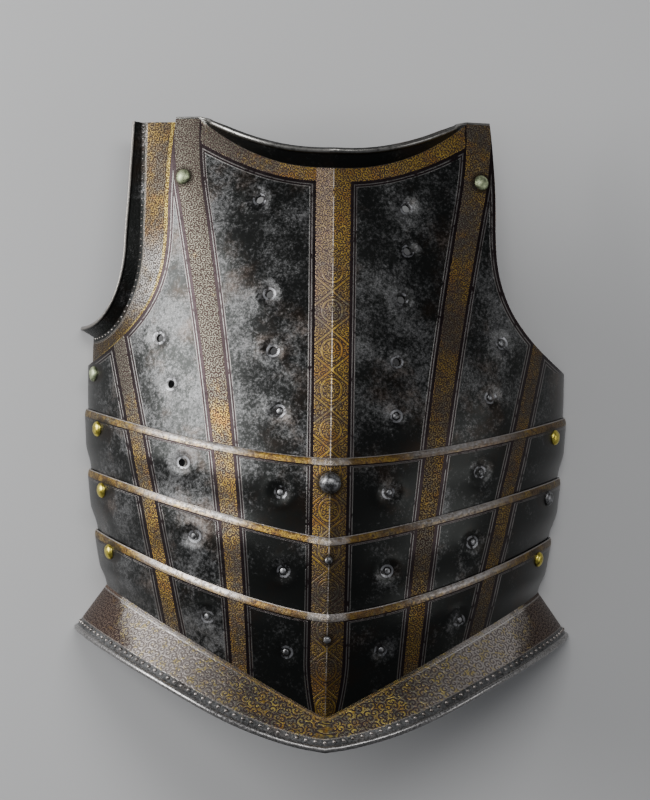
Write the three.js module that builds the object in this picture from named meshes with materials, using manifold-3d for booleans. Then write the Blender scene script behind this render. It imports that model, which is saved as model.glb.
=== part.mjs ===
// The breastplate of a laminated cuirass: a keeled main plate with a turned-out neck,
// one arm gusset, three waist lames that lap upwards, and the rivets that join them.
// It lies open side down: +X right, +Y to the neck, +Z out of the chest, floor at Z = 0.
// Units are millimetres.
import * as THREE from 'three';
import { mergeVertices } from 'three/addons/utils/BufferGeometryUtils.js';
import Module from 'manifold-3d';

const wasm = await Module();
wasm.setup();

// Walls and clearances
const WALL = 2.0;
const LAP_GAP = 0.6;
const GUSSET_GAP = 1.4;
const LIFT = WALL + LAP_GAP;
const HEAD_GAP = 0.35;
const TAIL_GAP = 0.8;
const HOLE_CLEARANCE = 0.5;

// Body form: the ridge line's height and the half width at the floor, both along Y
const BELLY = { y: -85, height: 159.5 };
const RIDGE_UP = { drop: 79.5, run: 301, power: 1.75 };
const RIDGE_DOWN = { drop: 25.5, run: 130, power: 2.1 };
const WIDEST = { y: 41.5, half: 171.5 };
const WIDTH_UP = { drop: 3.5, run: 175, power: 2 };
const WIDTH_DOWN = { drop: 16.2, run: 157, power: 2 };

// Cross-section: share of straight keel slope, rounding towards the side, fullness
const KEEL = 0.6;
const ROUNDING = 2.5;
const FULLNESS = 1.5;

// Columns from the ridge to each side, packed closer towards the side
const COLUMNS = 14;
const COLUMN_PACKING = 1.5;
const SHOULDER_COLUMN = 10;

// Main plate outline
const SHOULDER_Y = 216;
const CORNER_Y = 41.5;
const ARM = { top: 111, waist: 115, waistY: 150, power: 3 };
const NECK = { centerY: 180.3, rise: 35.7, power: 2.3 };
const NECK_FLANGE = { width: 12, angle: 60, power: 3 };
const ROLL_RADIUS = 2.1;

// Top edges of the waist lames: height at the ridge, rise to the sides, curve of the rise
const LAMES = [
  { name: 'waist_lame_1', center: -19.2, rise: 29.8, power: 1.6 },
  { name: 'waist_lame_2', center: -72.8, rise: 40.5, power: 1.25 },
  { name: 'waist_plate', center: -124, rise: 48.5, power: 1.5 },
];
const WAIST_CREASE = { center: -195.4, rise: 80, power: 1.08 };
const LAP = { ridge: 10, side: 22 };
const BLEND_MARGIN = 2;
const WAIST_FLANGE = {
  width: 37, ridgeCut: 12, cutShare: 0.45, ridgeAngle: 57, sideAngle: 47,
};

// Arm gusset, on the -X side only: its hidden inner edge and its crease
const GUSSET_TOP = 215;
const GUSSET_STRAIGHT = 0.4;
const GUSSET_HIDDEN = { x: 100, bendY: 112, endY: 26, squareness: 4 / 3 };
const GUSSET_CREASE = { x: 137, bendY: 130, endY: 62, squareness: 1 };
const GUSSET_FLANGE = { topWidth: 5.5, width: 10, angle: 60, roll: 1.4 };

// Rivets: heads, shanks and tails
const BRASS_RIVET = { head: 5.5, height: 3.2, shank: 2, tail: 4, tailHeight: 1.2, dome: [30, 62] };
const STEEL_RIVET = { head: 2.6, height: 1.6, shank: 1.4, tail: 0, tailHeight: 0, dome: [30, 62] };
const STUD = { head: 7.4, height: 7, shank: 2.2, tail: 0, tailHeight: 0 };
const LINING_RIVET = { head: 2.2, height: 0.5, shank: 1.9, tail: 3.2, tailHeight: 0.9, dome: [50] };
const SHOULDER_RIVET = { x: 104.5, y: 174.5 };
const GUSSET_RIVET = { x: -166.5, y: 35.5 };
const SIDE_RIVETS = [{ x: 160.3, y: -3.5 }, { x: 156, y: -46.7 }, { x: 150, y: -90 }];
const STUD_Y = -36;
const RIDGE_RIVETS = [{ lame: 1, y: -87.6 }, { lame: 2, y: -141 }];

// Lining holes of the panels; filled ones still hold the rivet's shank.
// Plate 0 is the main plate, and plates 1 to 3 are the lames from the top down.
const LINING_HOLE_RADIUS = 2.8;
const LINING_HOLES = [
  { plate: 0, x: -51, y: 158, filled: false },
  { plate: 0, x: -43, y: 92, filled: false },
  { plate: 0, x: -40, y: 53, filled: false },
  { plate: 0, x: -35, y: 12, filled: true },
  { plate: 1, x: -33, y: -43, filled: true },
  { plate: 2, x: -30, y: -96, filled: true },
  { plate: 3, x: -27, y: -151, filled: true },
  { plate: 0, x: -119, y: 61, filled: false },
  { plate: 0, x: -110, y: 29, filled: false },
  { plate: 1, x: -100, y: -25, filled: false },
  { plate: 2, x: -91, y: -75, filled: true },
  { plate: 3, x: -81, y: -130, filled: true },
  { plate: 0, x: 51, y: 154, filled: false },
  { plate: 0, x: 52, y: 124, filled: false },
  { plate: 0, x: 48, y: 90, filled: false },
  { plate: 0, x: 45, y: 47, filled: false },
  { plate: 0, x: 45, y: 10, filled: true },
  { plate: 1, x: 40, y: -42, filled: true },
  { plate: 2, x: 40, y: -95, filled: true },
  { plate: 3, x: 37, y: -149, filled: true },
  { plate: 0, x: 120, y: 62, filled: true },
  { plate: 0, x: 112, y: 24, filled: true },
  { plate: 1, x: 105, y: -28, filled: true },
  { plate: 2, x: 100, y: -76, filled: true },
  { plate: 3, x: 92, y: -130, filled: true },
];

const BLACK_STEEL = { color: 0x2b2a2a, roughness: 0.45, metalness: 0.9 };
const BRASS = { color: 0xa8902f, roughness: 0.35, metalness: 1.0 };
const PALE_BRASS = { color: 0x8f9c74, roughness: 0.45, metalness: 0.9 };
const GREY_STEEL = { color: 0x77787a, roughness: 0.5, metalness: 0.9 };

// --- The body's surface -----------------------------------------------------

function falling(run, distance) {
  return run.drop * (distance / run.run) ** run.power;
}

function ridgeHeight(y) {
  const above = y - BELLY.y;
  return BELLY.height - (above > 0 ? falling(RIDGE_UP, above) : falling(RIDGE_DOWN, -above));
}

function halfWidth(y) {
  const above = y - WIDEST.y;
  return WIDEST.half - (above > 0 ? falling(WIDTH_UP, above) : falling(WIDTH_DOWN, -above));
}

// Share of the half width at girth 0 (ridge) to 1 (side edge), and the way back
function shareAt(girth) {
  return 1 - (1 - girth) ** COLUMN_PACKING;
}

function girthAt(share) {
  return 1 - (1 - Math.min(share, 1)) ** (1 / COLUMN_PACKING);
}

function surfacePoint(girth, y) {
  const share = shareAt(girth);
  const slope = Math.max(0, 1 - KEEL * share - (1 - KEEL) * share ** ROUNDING);
  return new THREE.Vector3(halfWidth(y) * share, y, ridgeHeight(y) * slope ** (1 / FULLNESS));
}

function surfaceNormal(girth, y) {
  const step = 1e-3;
  const across = surfacePoint(Math.min(girth + step, 1), y)
    .sub(surfacePoint(Math.max(girth - step, 0), y));
  const along = surfacePoint(girth, y + step).sub(surfacePoint(girth, y - step));
  return across.cross(along).normalize();
}

// Offset direction of unit depth, mitred where the two flanks meet on the ridge
function offsetDirection(girth, y) {
  const normal = surfaceNormal(girth, y);
  if (girth > 1e-6) return normal;
  const share = normal.y ** 2 + normal.z ** 2;
  return new THREE.Vector3(0, normal.y, normal.z).divideScalar(share);
}

function onPlate(girth, y, depth) {
  const point = surfacePoint(girth, y).addScaledVector(offsetDirection(girth, y), depth);
  if (girth === 0) point.x = 0;
  if (girth === 1) point.z = 0;
  return point;
}

function mirrored(point, side) {
  return new THREE.Vector3(point.x * side, point.y, point.z);
}

// --- Solids -----------------------------------------------------------------

// Closes two equal grids of points, an outer and an inner face, into one wall.
// Columns run towards +X and rows towards +Y when seen from outside.
function wall(outer, inner) {
  const columns = outer.length;
  const rows = outer[0].length;
  const positions = [...outer, ...inner].flat().flatMap((p) => [p.x, p.y, p.z]);
  const index = [];
  const o = (c, r) => c * rows + r;
  const i = (c, r) => (columns + c) * rows + r;
  const quad = (a, b, c, d) => index.push(a, b, c, a, c, d);
  for (let c = 0; c < columns - 1; c += 1) {
    for (let r = 0; r < rows - 1; r += 1) {
      quad(o(c, r), o(c + 1, r), o(c + 1, r + 1), o(c, r + 1));
      quad(i(c, r + 1), i(c + 1, r + 1), i(c + 1, r), i(c, r));
    }
    const top = rows - 1;
    quad(o(c + 1, 0), o(c, 0), i(c, 0), i(c + 1, 0));
    quad(o(c, top), o(c + 1, top), i(c + 1, top), i(c, top));
  }
  for (let r = 0; r < rows - 1; r += 1) {
    const last = columns - 1;
    quad(o(0, r), o(0, r + 1), i(0, r + 1), i(0, r));
    quad(o(last, r + 1), o(last, r), i(last, r), i(last, r + 1));
  }
  const geometry = new THREE.BufferGeometry();
  geometry.setAttribute('position', new THREE.Float32BufferAttribute(positions, 3));
  geometry.setIndex(index);
  return geometry;
}

function toSolid(geometry) {
  const bare = geometry.clone();
  bare.deleteAttribute('normal');
  bare.deleteAttribute('uv');
  const merged = mergeVertices(bare, 1e-4);
  return new wasm.Manifold(new wasm.Mesh({
    numProp: 3,
    vertProperties: Float32Array.from(merged.attributes.position.array),
    triVerts: Uint32Array.from(merged.index.array),
  }));
}

function toGeometry(solid) {
  const mesh = solid.getMesh();
  const geometry = new THREE.BufferGeometry();
  geometry.setAttribute('position', new THREE.BufferAttribute(mesh.vertProperties, 3));
  geometry.setIndex(new THREE.BufferAttribute(mesh.triVerts, 1));
  return geometry;
}

// A place on a plate: its point on the outer face and the direction out of it
function placeOn(plate, x, y) {
  const side = Math.sign(x) || 1;
  const girth = girthAt(Math.abs(x) / halfWidth(y));
  const normal = surfaceNormal(girth, y);
  if (girth < 1e-6) normal.set(0, normal.y, normal.z).normalize();
  const point = onPlate(girth, y, outerDepth(plate, girth, y));
  return { point: mirrored(point, side), normal: mirrored(normal, side) };
}

function drilled(geometry, holes) {
  const drill = 16;
  return toGeometry(holes.reduce((solid, hole) => {
    const tool = new THREE.CylinderGeometry(hole.radius, hole.radius, drill, 8);
    const turn = new THREE.Quaternion()
      .setFromUnitVectors(new THREE.Vector3(0, 1, 0), hole.place.normal);
    tool.applyQuaternion(turn);
    tool.translate(hole.place.point.x, hole.place.point.y, hole.place.point.z);
    return solid.subtract(toSolid(tool));
  }, toSolid(geometry)));
}

function part(name, geometry, finish) {
  const flat = geometry.index ? geometry.toNonIndexed() : geometry;
  flat.computeVertexNormals();
  const mesh = new THREE.Mesh(geometry, new THREE.MeshStandardMaterial(finish));
  mesh.name = name;
  return mesh;
}

// --- Outlines ---------------------------------------------------------------

function edgeY(edge, girth) {
  return edge.center + edge.rise * shareAt(girth) ** edge.power;
}

function lapDepth(girth) {
  return LAP.ridge + (LAP.side - LAP.ridge) * shareAt(girth) ** 2;
}

// Depth of a plate's outer face over the body: a lame is lifted where it laps the
// plate above it, and comes back to the body before the next lame laps over it.
function outerDepth(plate, girth, y) {
  if (plate === 0) return 0;
  const top = edgeY(LAMES[plate - 1], girth) - lapDepth(girth) - BLEND_MARGIN;
  const next = plate < LAMES.length ? LAMES[plate] : WAIST_CREASE;
  const bottom = edgeY(next, girth) + BLEND_MARGIN;
  return LIFT * THREE.MathUtils.smoothstep(y, bottom, top);
}

function armX(y) {
  if (y >= ARM.waistY) {
    const up = (y - ARM.waistY) / (SHOULDER_Y - ARM.waistY);
    return ARM.waist - (ARM.waist - ARM.top) * up ** 2;
  }
  const down = (ARM.waistY - y) / (ARM.waistY - CORNER_Y);
  return ARM.waist + (halfWidth(CORNER_Y) - ARM.waist) * down ** ARM.power;
}

// Outer limit of the main plate: the side edge, and above the corner the arm edge
function plateHalfWidth(y) {
  return y > CORNER_Y ? armX(y) : halfWidth(y);
}

const NECK_HALF = shareAt(SHOULDER_COLUMN / COLUMNS) * ARM.top;

function neckShare(x) {
  return Math.min(Math.abs(x) / NECK_HALF, 1);
}

function neckY(x) {
  return NECK.centerY + NECK.rise * neckShare(x) ** NECK.power;
}

// Top end of a main plate column, where the column meets the neck or shoulder edge
function columnTop(girth) {
  let y = SHOULDER_Y;
  for (let pass = 0; pass < 8; pass += 1) y = neckY(shareAt(girth) * plateHalfWidth(y));
  return y;
}

// --- Turned and rolled edges ------------------------------------------------

// Rows of a flange that turns out from a crease, ending in a roll.
// crease is the outer point, out the wall's normal, away the in-surface direction.
function flangeRows(crease, out, away, width, angle, roll) {
  const turn = THREE.MathUtils.degToRad(angle);
  const run = away.clone().multiplyScalar(Math.cos(turn))
    .addScaledVector(out, Math.sin(turn));
  const face = out.clone().multiplyScalar(Math.cos(turn))
    .addScaledVector(away, -Math.sin(turn));
  const at = (along, over) => crease.clone().addScaledVector(run, along)
    .addScaledVector(face, over);
  const straight = Math.max(width - roll, 0);
  const middle = -WALL / 2;
  const rollAngles = [125, 75, 25].map(THREE.MathUtils.degToRad);
  const onRoll = (bend) => at(width + roll * Math.cos(bend), middle + roll * Math.sin(bend));
  return {
    outer: [at(straight * 0.5, 0), ...rollAngles.map(onRoll)],
    inner: [at(straight * 0.5, -WALL), ...rollAngles.map((bend) => onRoll(-bend))],
  };
}

// Direction in the surface, square to an edge line, on the side of +Y or -Y
function awayFrom(line, girth, out, sign) {
  const step = 1e-3;
  const ahead = line(Math.min(girth + step, 1));
  const behind = line(Math.max(girth - step, 0));
  const edge = ahead.sub(behind).normalize();
  if (girth === 0) edge.set(1, 0, 0);
  return out.clone().cross(edge).normalize().multiplyScalar(sign);
}

// Builds both halves of a plate from a function that gives one column's points
function mirroredWall(column) {
  const outer = [];
  const inner = [];
  for (let c = -COLUMNS; c <= COLUMNS; c += 1) {
    const rows = column(Math.abs(c) / COLUMNS, Math.abs(c));
    const side = Math.sign(c) || 1;
    outer.push(rows.outer.map((p) => mirrored(p, side)));
    inner.push(rows.inner.map((p) => mirrored(p, side)));
  }
  return wall(outer, inner);
}

// --- Plates -----------------------------------------------------------------

function mainPlateGirth(columnGirth, y) {
  return girthAt(shareAt(columnGirth) * plateHalfWidth(y) / halfWidth(y));
}

function mainPlateColumn(columnGirth) {
  const bottom = edgeY(LAMES[0], columnGirth) - lapDepth(columnGirth);
  const top = columnTop(columnGirth);
  const lower = [0, 0.25, 0.5, 0.75].map((s) => bottom + (CORNER_Y - bottom) * s);
  const upper = [0, 0.04, 0.09, 0.15, 0.23, 0.34, 0.5, 0.67, 0.83, 1]
    .map((s) => CORNER_Y + (top - CORNER_Y) * s);
  const girths = (y) => (columnGirth === 1 && y <= CORNER_Y ? 1 : mainPlateGirth(columnGirth, y));
  const ys = [...lower, ...upper];
  const outer = ys.map((y) => onPlate(girths(y), y, 0));
  const inner = ys.map((y) => onPlate(girths(y), y, -WALL));

  const neckLine = (g) => {
    const y = columnTop(g);
    return surfacePoint(mainPlateGirth(g, y), y);
  };
  const out = surfaceNormal(girths(top), top);
  if (columnGirth === 0) out.set(0, out.y, out.z).normalize();
  const turned = 1 - neckShare(shareAt(columnGirth) * ARM.top) ** NECK_FLANGE.power;
  const inNeck = columnGirth < SHOULDER_COLUMN / COLUMNS;
  const away = inNeck ? awayFrom(neckLine, columnGirth, out, 1)
    : new THREE.Vector3(0, 1, 0).addScaledVector(out, -out.y).normalize();
  const roll = WALL / 2 + (ROLL_RADIUS - WALL / 2) * Math.min(1, turned * 2);
  const width = NECK_FLANGE.width * Math.max(turned, 0) + roll;
  const flange = flangeRows(outer.at(-1), out, away, width,
    NECK_FLANGE.angle * Math.min(1, turned * 4), roll);
  return { outer: [...outer, ...flange.outer], inner: [...inner, ...flange.inner] };
}

function mainPlate() {
  return mirroredWall(mainPlateColumn);
}

function lameRows(plate, girth, bottom) {
  const top = edgeY(LAMES[plate - 1], girth);
  const lapEnd = top - lapDepth(girth) - BLEND_MARGIN;
  const next = plate < LAMES.length ? LAMES[plate] : WAIST_CREASE;
  const blendEnd = edgeY(next, girth) + BLEND_MARGIN;
  const blend = [1, 0.67, 0.33, 0].map((s) => blendEnd + (lapEnd - blendEnd) * s);
  return [top, (top + lapEnd) / 2, ...blend, ...bottom].reverse();
}

function lame(plate) {
  return mirroredWall((girth) => {
    const next = edgeY(LAMES[plate], girth);
    const lap = lapDepth(girth);
    const ys = lameRows(plate, girth, [next - lap / 2, next - lap]);
    return {
      outer: ys.map((y) => onPlate(girth, y, outerDepth(plate, girth, y))),
      inner: ys.map((y) => onPlate(girth, y, outerDepth(plate, girth, y) - WALL)),
    };
  });
}

function waistPlate() {
  const plate = LAMES.length;
  const creaseLine = (g) => surfacePoint(g, edgeY(WAIST_CREASE, g));
  return mirroredWall((girth) => {
    const crease = edgeY(WAIST_CREASE, girth);
    const ys = lameRows(plate, girth, [crease]);
    const outer = ys.map((y) => onPlate(girth, y, outerDepth(plate, girth, y)));
    const inner = ys.map((y) => onPlate(girth, y, outerDepth(plate, girth, y) - WALL));
    const out = surfaceNormal(girth, crease);
    if (girth === 0) out.set(0, out.y, out.z).normalize();
    const away = awayFrom(creaseLine, girth, out, -1);
    const share = shareAt(girth);
    const cut = WAIST_FLANGE.ridgeCut * Math.max(0, 1 - share / WAIST_FLANGE.cutShare) ** 2;
    const angle = THREE.MathUtils.lerp(WAIST_FLANGE.ridgeAngle, WAIST_FLANGE.sideAngle, share);
    const flange = flangeRows(outer[0], out, away, WAIST_FLANGE.width - cut, angle, ROLL_RADIUS);
    const flatEnd = (p) => (girth === 1 ? p.setZ(0) : p);
    return {
      outer: [...flange.outer.reverse().map(flatEnd), ...outer],
      inner: [...flange.inner.reverse().map(flatEnd), ...inner],
    };
  });
}

// A line of the gusset: straight down from the shoulder, then a bend to the side edge
function gussetLine(line, along) {
  if (along <= GUSSET_STRAIGHT) {
    const down = along / GUSSET_STRAIGHT;
    return { x: line.x, y: THREE.MathUtils.lerp(GUSSET_TOP, line.bendY, down) };
  }
  const bend = (along - GUSSET_STRAIGHT) / (1 - GUSSET_STRAIGHT) * Math.PI / 2;
  const endX = halfWidth(line.endY);
  return {
    x: endX - (endX - line.x) * Math.abs(Math.cos(bend)) ** line.squareness,
    y: line.bendY - (line.bendY - line.endY) * Math.sin(bend) ** line.squareness,
  };
}

function gusset() {
  const outer = [];
  const inner = [];
  const steps = 22;
  const depth = -WALL - GUSSET_GAP;
  const at = (x, y, d, last) => {
    const girth = last ? 1 : girthAt(x / halfWidth(y));
    return onPlate(girth, y, d);
  };
  const creasePoint = (s) => {
    const { x, y } = gussetLine(GUSSET_CREASE, Math.min(Math.max(s, 0), 1));
    return at(x, y, depth, s >= 1);
  };
  for (let c = steps; c >= 0; c -= 1) {
    const s = c / steps;
    const last = c === steps;
    const hidden = gussetLine(GUSSET_HIDDEN, s);
    const crease = gussetLine(GUSSET_CREASE, s);
    const across = [0, 0.25, 0.5, 0.75, 1].map((f) => ({
      x: THREE.MathUtils.lerp(hidden.x, crease.x, f),
      y: THREE.MathUtils.lerp(hidden.y, crease.y, f),
    }));
    const outs = across.map((p) => at(p.x, p.y, depth, last));
    const ins = across.map((p) => at(p.x, p.y, depth - WALL, last));
    const out = surfaceNormal(last ? 1 : girthAt(crease.x / halfWidth(crease.y)), crease.y);
    const edge = creasePoint(s + 0.002).sub(creasePoint(s - 0.002)).normalize();
    const away = edge.clone().cross(out).normalize().multiplyScalar(-1);
    if (last) away.setZ(0).normalize();
    const width = THREE.MathUtils.lerp(GUSSET_FLANGE.topWidth, GUSSET_FLANGE.width,
      Math.min(1, s / GUSSET_STRAIGHT));
    const flange = flangeRows(outs.at(-1), out, away, width,
      GUSSET_FLANGE.angle, GUSSET_FLANGE.roll);
    const flatEnd = (p) => (last ? p.setZ(0) : p);
    outer.push([...outs, ...flange.outer.map(flatEnd)].map((p) => mirrored(p, -1)));
    inner.push([...ins, ...flange.inner.map(flatEnd)].map((p) => mirrored(p, -1)));
  }
  return wall(outer, inner);
}

// --- Rivets -----------------------------------------------------------------

// A rivet along +Z with the plate's outer face at Z = 0; grip is the riveted depth
function rivet(kind, grip, sides, conical) {
  const bottom = -grip - (kind.tail ? TAIL_GAP : 0);
  const points = [[0, bottom - kind.tailHeight]];
  if (kind.tail) {
    points.push([kind.tail, bottom - kind.tailHeight], [kind.tail, bottom]);
  }
  points.push([kind.shank, bottom], [kind.shank, HEAD_GAP], [kind.head, HEAD_GAP]);
  if (conical) {
    points.push([kind.head * 0.96, HEAD_GAP + kind.height * 0.18]);
    points.push([kind.head * 0.42, HEAD_GAP + kind.height * 0.8]);
  } else {
    kind.dome.map(THREE.MathUtils.degToRad).forEach((bend) => {
      points.push([kind.head * Math.cos(bend), HEAD_GAP + kind.height * Math.sin(bend)]);
    });
  }
  points.push([0, HEAD_GAP + kind.height]);
  const geometry = new THREE.LatheGeometry(points.map(([r, z]) => new THREE.Vector2(r, z)), sides);
  geometry.rotateX(Math.PI / 2);
  geometry.deleteAttribute('normal');
  geometry.deleteAttribute('uv');
  return mergeVertices(geometry, 1e-4);
}

function placed(mesh, place) {
  mesh.position.copy(place.point);
  mesh.quaternion.setFromUnitVectors(new THREE.Vector3(0, 0, 1), place.normal);
  return mesh;
}

// --- Assembly ---------------------------------------------------------------

const cuirass = new THREE.Group();
const holes = [[], [], [], []];
const gussetHoles = [];

// Drills the listed plates and sets the rivet in them; the first plate is the outermost
function fasten(name, kind, finish, plates, x, y, options = {}) {
  const place = placeOn(plates[0], x, y);
  const radius = kind.shank + HOLE_CLEARANCE;
  plates.forEach((plate) => holes[plate].push({ place, radius }));
  if (options.throughGusset) gussetHoles.push({ place, radius });
  const layers = plates.length + (options.throughGusset ? 1 : 0);
  const gap = options.throughGusset ? GUSSET_GAP : LAP_GAP;
  const grip = WALL * layers + gap * (layers - 1) - (kind.tail ? 0 : HEAD_GAP);
  const geometry = rivet(kind, grip, options.sides ?? 10, options.conical);
  cuirass.add(placed(part(name, geometry, finish), place));
}

fasten('shoulder_rivet_left', BRASS_RIVET, PALE_BRASS, [0], -SHOULDER_RIVET.x, SHOULDER_RIVET.y,
  { throughGusset: true });
fasten('shoulder_rivet_right', BRASS_RIVET, PALE_BRASS, [0], SHOULDER_RIVET.x, SHOULDER_RIVET.y);
fasten('gusset_rivet', BRASS_RIVET, PALE_BRASS, [0], GUSSET_RIVET.x, GUSSET_RIVET.y,
  { throughGusset: true });

SIDE_RIVETS.forEach(({ x, y }, index) => {
  const plates = [index + 1, index];
  const rightFinish = index === 1 ? GREY_STEEL : BRASS;
  fasten(`side_rivet_left_${index + 1}`, BRASS_RIVET, BRASS, plates, -x, y);
  fasten(`side_rivet_right_${index + 1}`, BRASS_RIVET, rightFinish, plates, x, y);
});

fasten('center_stud', STUD, GREY_STEEL, [1], 0, STUD_Y, { conical: true });
RIDGE_RIVETS.forEach(({ lame: above, y }) => {
  fasten(`ridge_rivet_${above}`, STEEL_RIVET, GREY_STEEL, [above + 1], 0, y, { sides: 10 });
});

let liningCount = 0;
LINING_HOLES.forEach(({ plate, x, y, filled }) => {
  if (filled) {
    liningCount += 1;
    fasten(`lining_rivet_${liningCount}`, LINING_RIVET, GREY_STEEL, [plate], x, y, { sides: 8 });
  } else {
    holes[plate].push({ place: placeOn(plate, x, y), radius: LINING_HOLE_RADIUS });
  }
});

cuirass.add(part('main_plate', drilled(mainPlate(), holes[0]), BLACK_STEEL));
cuirass.add(part('arm_gusset', drilled(gusset(), gussetHoles), BLACK_STEEL));
cuirass.add(part('waist_lame_1', drilled(lame(1), holes[1]), BLACK_STEEL));
cuirass.add(part('waist_lame_2', drilled(lame(2), holes[2]), BLACK_STEEL));
cuirass.add(part('waist_plate', drilled(waistPlate(), holes[3]), BLACK_STEEL));

export default cuirass;
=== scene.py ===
import math

import bpy
import numpy as np
from mathutils import Matrix, Vector


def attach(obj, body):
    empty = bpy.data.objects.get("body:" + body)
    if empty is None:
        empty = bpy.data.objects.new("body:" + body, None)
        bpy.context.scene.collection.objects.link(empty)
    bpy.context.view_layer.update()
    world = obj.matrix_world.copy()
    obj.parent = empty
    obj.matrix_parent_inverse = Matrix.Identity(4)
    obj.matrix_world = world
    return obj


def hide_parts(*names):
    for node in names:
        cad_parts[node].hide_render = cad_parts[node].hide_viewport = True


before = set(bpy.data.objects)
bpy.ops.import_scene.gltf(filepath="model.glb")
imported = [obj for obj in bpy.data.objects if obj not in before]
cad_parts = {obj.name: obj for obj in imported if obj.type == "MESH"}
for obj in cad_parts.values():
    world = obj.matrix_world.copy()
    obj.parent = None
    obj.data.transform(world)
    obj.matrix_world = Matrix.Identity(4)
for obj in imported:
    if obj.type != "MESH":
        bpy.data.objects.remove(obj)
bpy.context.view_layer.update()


# --- Camera -----------------------------------------------------------------
# A long lens looks straight down at the breastplate, which lies ridge up, so it
# sees the front as worn. It stands a little to the left and is turned slightly.
VIEW_DISTANCE = 2.4
VIEW_TARGET = Vector((-0.0008, 0.020, 0.0))
VIEW_YAW = math.radians(1.35)
VIEW_ROLL = math.radians(1.1)


def new_object(name, data):
    """An object of some mesh, light or camera, put in the scene."""
    made = bpy.data.objects.new(name, data)
    bpy.context.collection.objects.link(made)
    return made


camera_data = bpy.data.cameras.new("front_camera")
camera_data.lens = 150
camera_data.sensor_width = 36
camera_data.clip_end = 20
camera = new_object("front_camera", camera_data)
back = Vector((-math.sin(VIEW_YAW), 0, math.cos(VIEW_YAW)))
level = Vector((math.cos(VIEW_YAW), 0, math.sin(VIEW_YAW)))
north = Vector((0, 1, 0))
right = level * math.cos(VIEW_ROLL) + north * math.sin(VIEW_ROLL)
upward = north * math.cos(VIEW_ROLL) - level * math.sin(VIEW_ROLL)
turn = Matrix((right, upward, back)).transposed().to_4x4()
camera.matrix_world = Matrix.Translation(VIEW_TARGET + back * VIEW_DISTANCE) @ turn
bpy.context.scene.camera = camera


# --- Floor and light --------------------------------------------------------
# A plain pale floor under the side edges. A large soft light stands low on the
# upper left, with weaker ones beyond the neck and on the right.
FLOOR_SIZE = 8
FLOOR_DROP = 0.0004

floor_mesh = bpy.data.meshes.new("floor")
reach = FLOOR_SIZE / 2
floor_mesh.from_pydata(
    [(-reach, -reach, -FLOOR_DROP), (reach, -reach, -FLOOR_DROP),
     (reach, reach, -FLOOR_DROP), (-reach, reach, -FLOOR_DROP)], [], [(0, 1, 2, 3)])
floor = new_object("floor", floor_mesh)
floor_finish = bpy.data.materials.new("pale_floor")
floor_finish.use_nodes = True
floor_shader = floor_finish.node_tree.nodes["Principled BSDF"]
floor_shader.inputs["Base Color"].default_value = (0.52, 0.52, 0.52, 1)
floor_shader.inputs["Roughness"].default_value = 0.9
floor_mesh.materials.append(floor_finish)

world = bpy.data.worlds.new("studio")
bpy.context.scene.world = world
world.use_nodes = True
sky = world.node_tree.nodes["Background"].inputs
sky["Color"].default_value = (0.9, 0.93, 1.0, 1)
sky["Strength"].default_value = 0.16


def soft_light(name, place, size, power, aim=(0, 0, 0.05)):
    data = bpy.data.lights.new(name, "AREA")
    data.shape = "RECTANGLE"
    data.size, data.size_y = size
    data.energy = power
    light = new_object(name, data)
    light.location = place
    direction = Vector(aim) - Vector(place)
    light.rotation_euler = direction.to_track_quat("-Z", "Y").to_euler()


soft_light("key_light", (-1.5, 0.45, 0.55), (1.0, 0.8), 37)
soft_light("neck_light", (0.25, 1.0, 1.9), (1.4, 0.5), 18)
soft_light("fill_light", (1.8, -0.1, 0.7), (0.8, 0.8), 4.5)
soft_light("top_light", (-0.5, 0.4, 2.6), (1.0, 1.0), 6)


# --- Main plate -------------------------------------------------------------
# The chest plate: one sheet of steel, raised to a keel down the middle, with the
# neck turned out over a roll. It was blackened, etched and gilt in bands, and the
# panels between them have lost a lining that was riveted through them.
WALL = 2.0
LAP_GAP = 0.6
LIFT = WALL + LAP_GAP
BELLY_Y, BELLY_HEIGHT = -85, 159.5
RIDGE_UP, RIDGE_DOWN = (79.5, 301, 1.75), (25.5, 130, 2.1)
WIDEST_Y, WIDEST_HALF = 41.5, 171.5
WIDTH_UP, WIDTH_DOWN = (3.5, 175, 2), (16.2, 157, 2)
KEEL, ROUNDING, FULLNESS = 0.6, 2.5, 1.5
PACKING = 1.5
SHOULDER_Y, CORNER_Y = 216, 41.5
ARM_TOP, ARM_WAIST, ARM_WAIST_Y, ARM_POWER = 111, 115, 150, 3
NECK_Y, NECK_RISE, NECK_POWER = 180.3, 35.7, 2.3
SHOULDER_SHARE = 10 / 14
NECK_FLANGE_WIDTH, NECK_FLANGE_ANGLE = 12, 60
NECK_BAND, NECK_BAND_FLARE = 9.2, 3.2
ROLL_RADIUS = 2.1
MM = 0.001  # the plates are worked out in mm and built in metres
SHARP_ANGLE = math.radians(38)
FAR, OFF_BAND = 40.0, 20  # UV distances in mm that stand for away from any band
RIDGE_SOFTENING, RIDGE_COLUMN = 0.10, 0.003
HALF_COLUMNS = 96
LAP_RIDGE, LAP_SIDE, BLEND_MARGIN = 10, 22, 2

# Edge lines across the body, from the neck down: height at the ridge, rise to the
# side edges, and the power of that rise
EDGES = [
    dict(center=-19.2, rise=29.8, power=1.6),
    dict(center=-72.8, rise=40.5, power=1.25),
    dict(center=-124, rise=48.5, power=1.5),
    dict(center=-195.4, rise=80, power=1.08),
]

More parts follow.
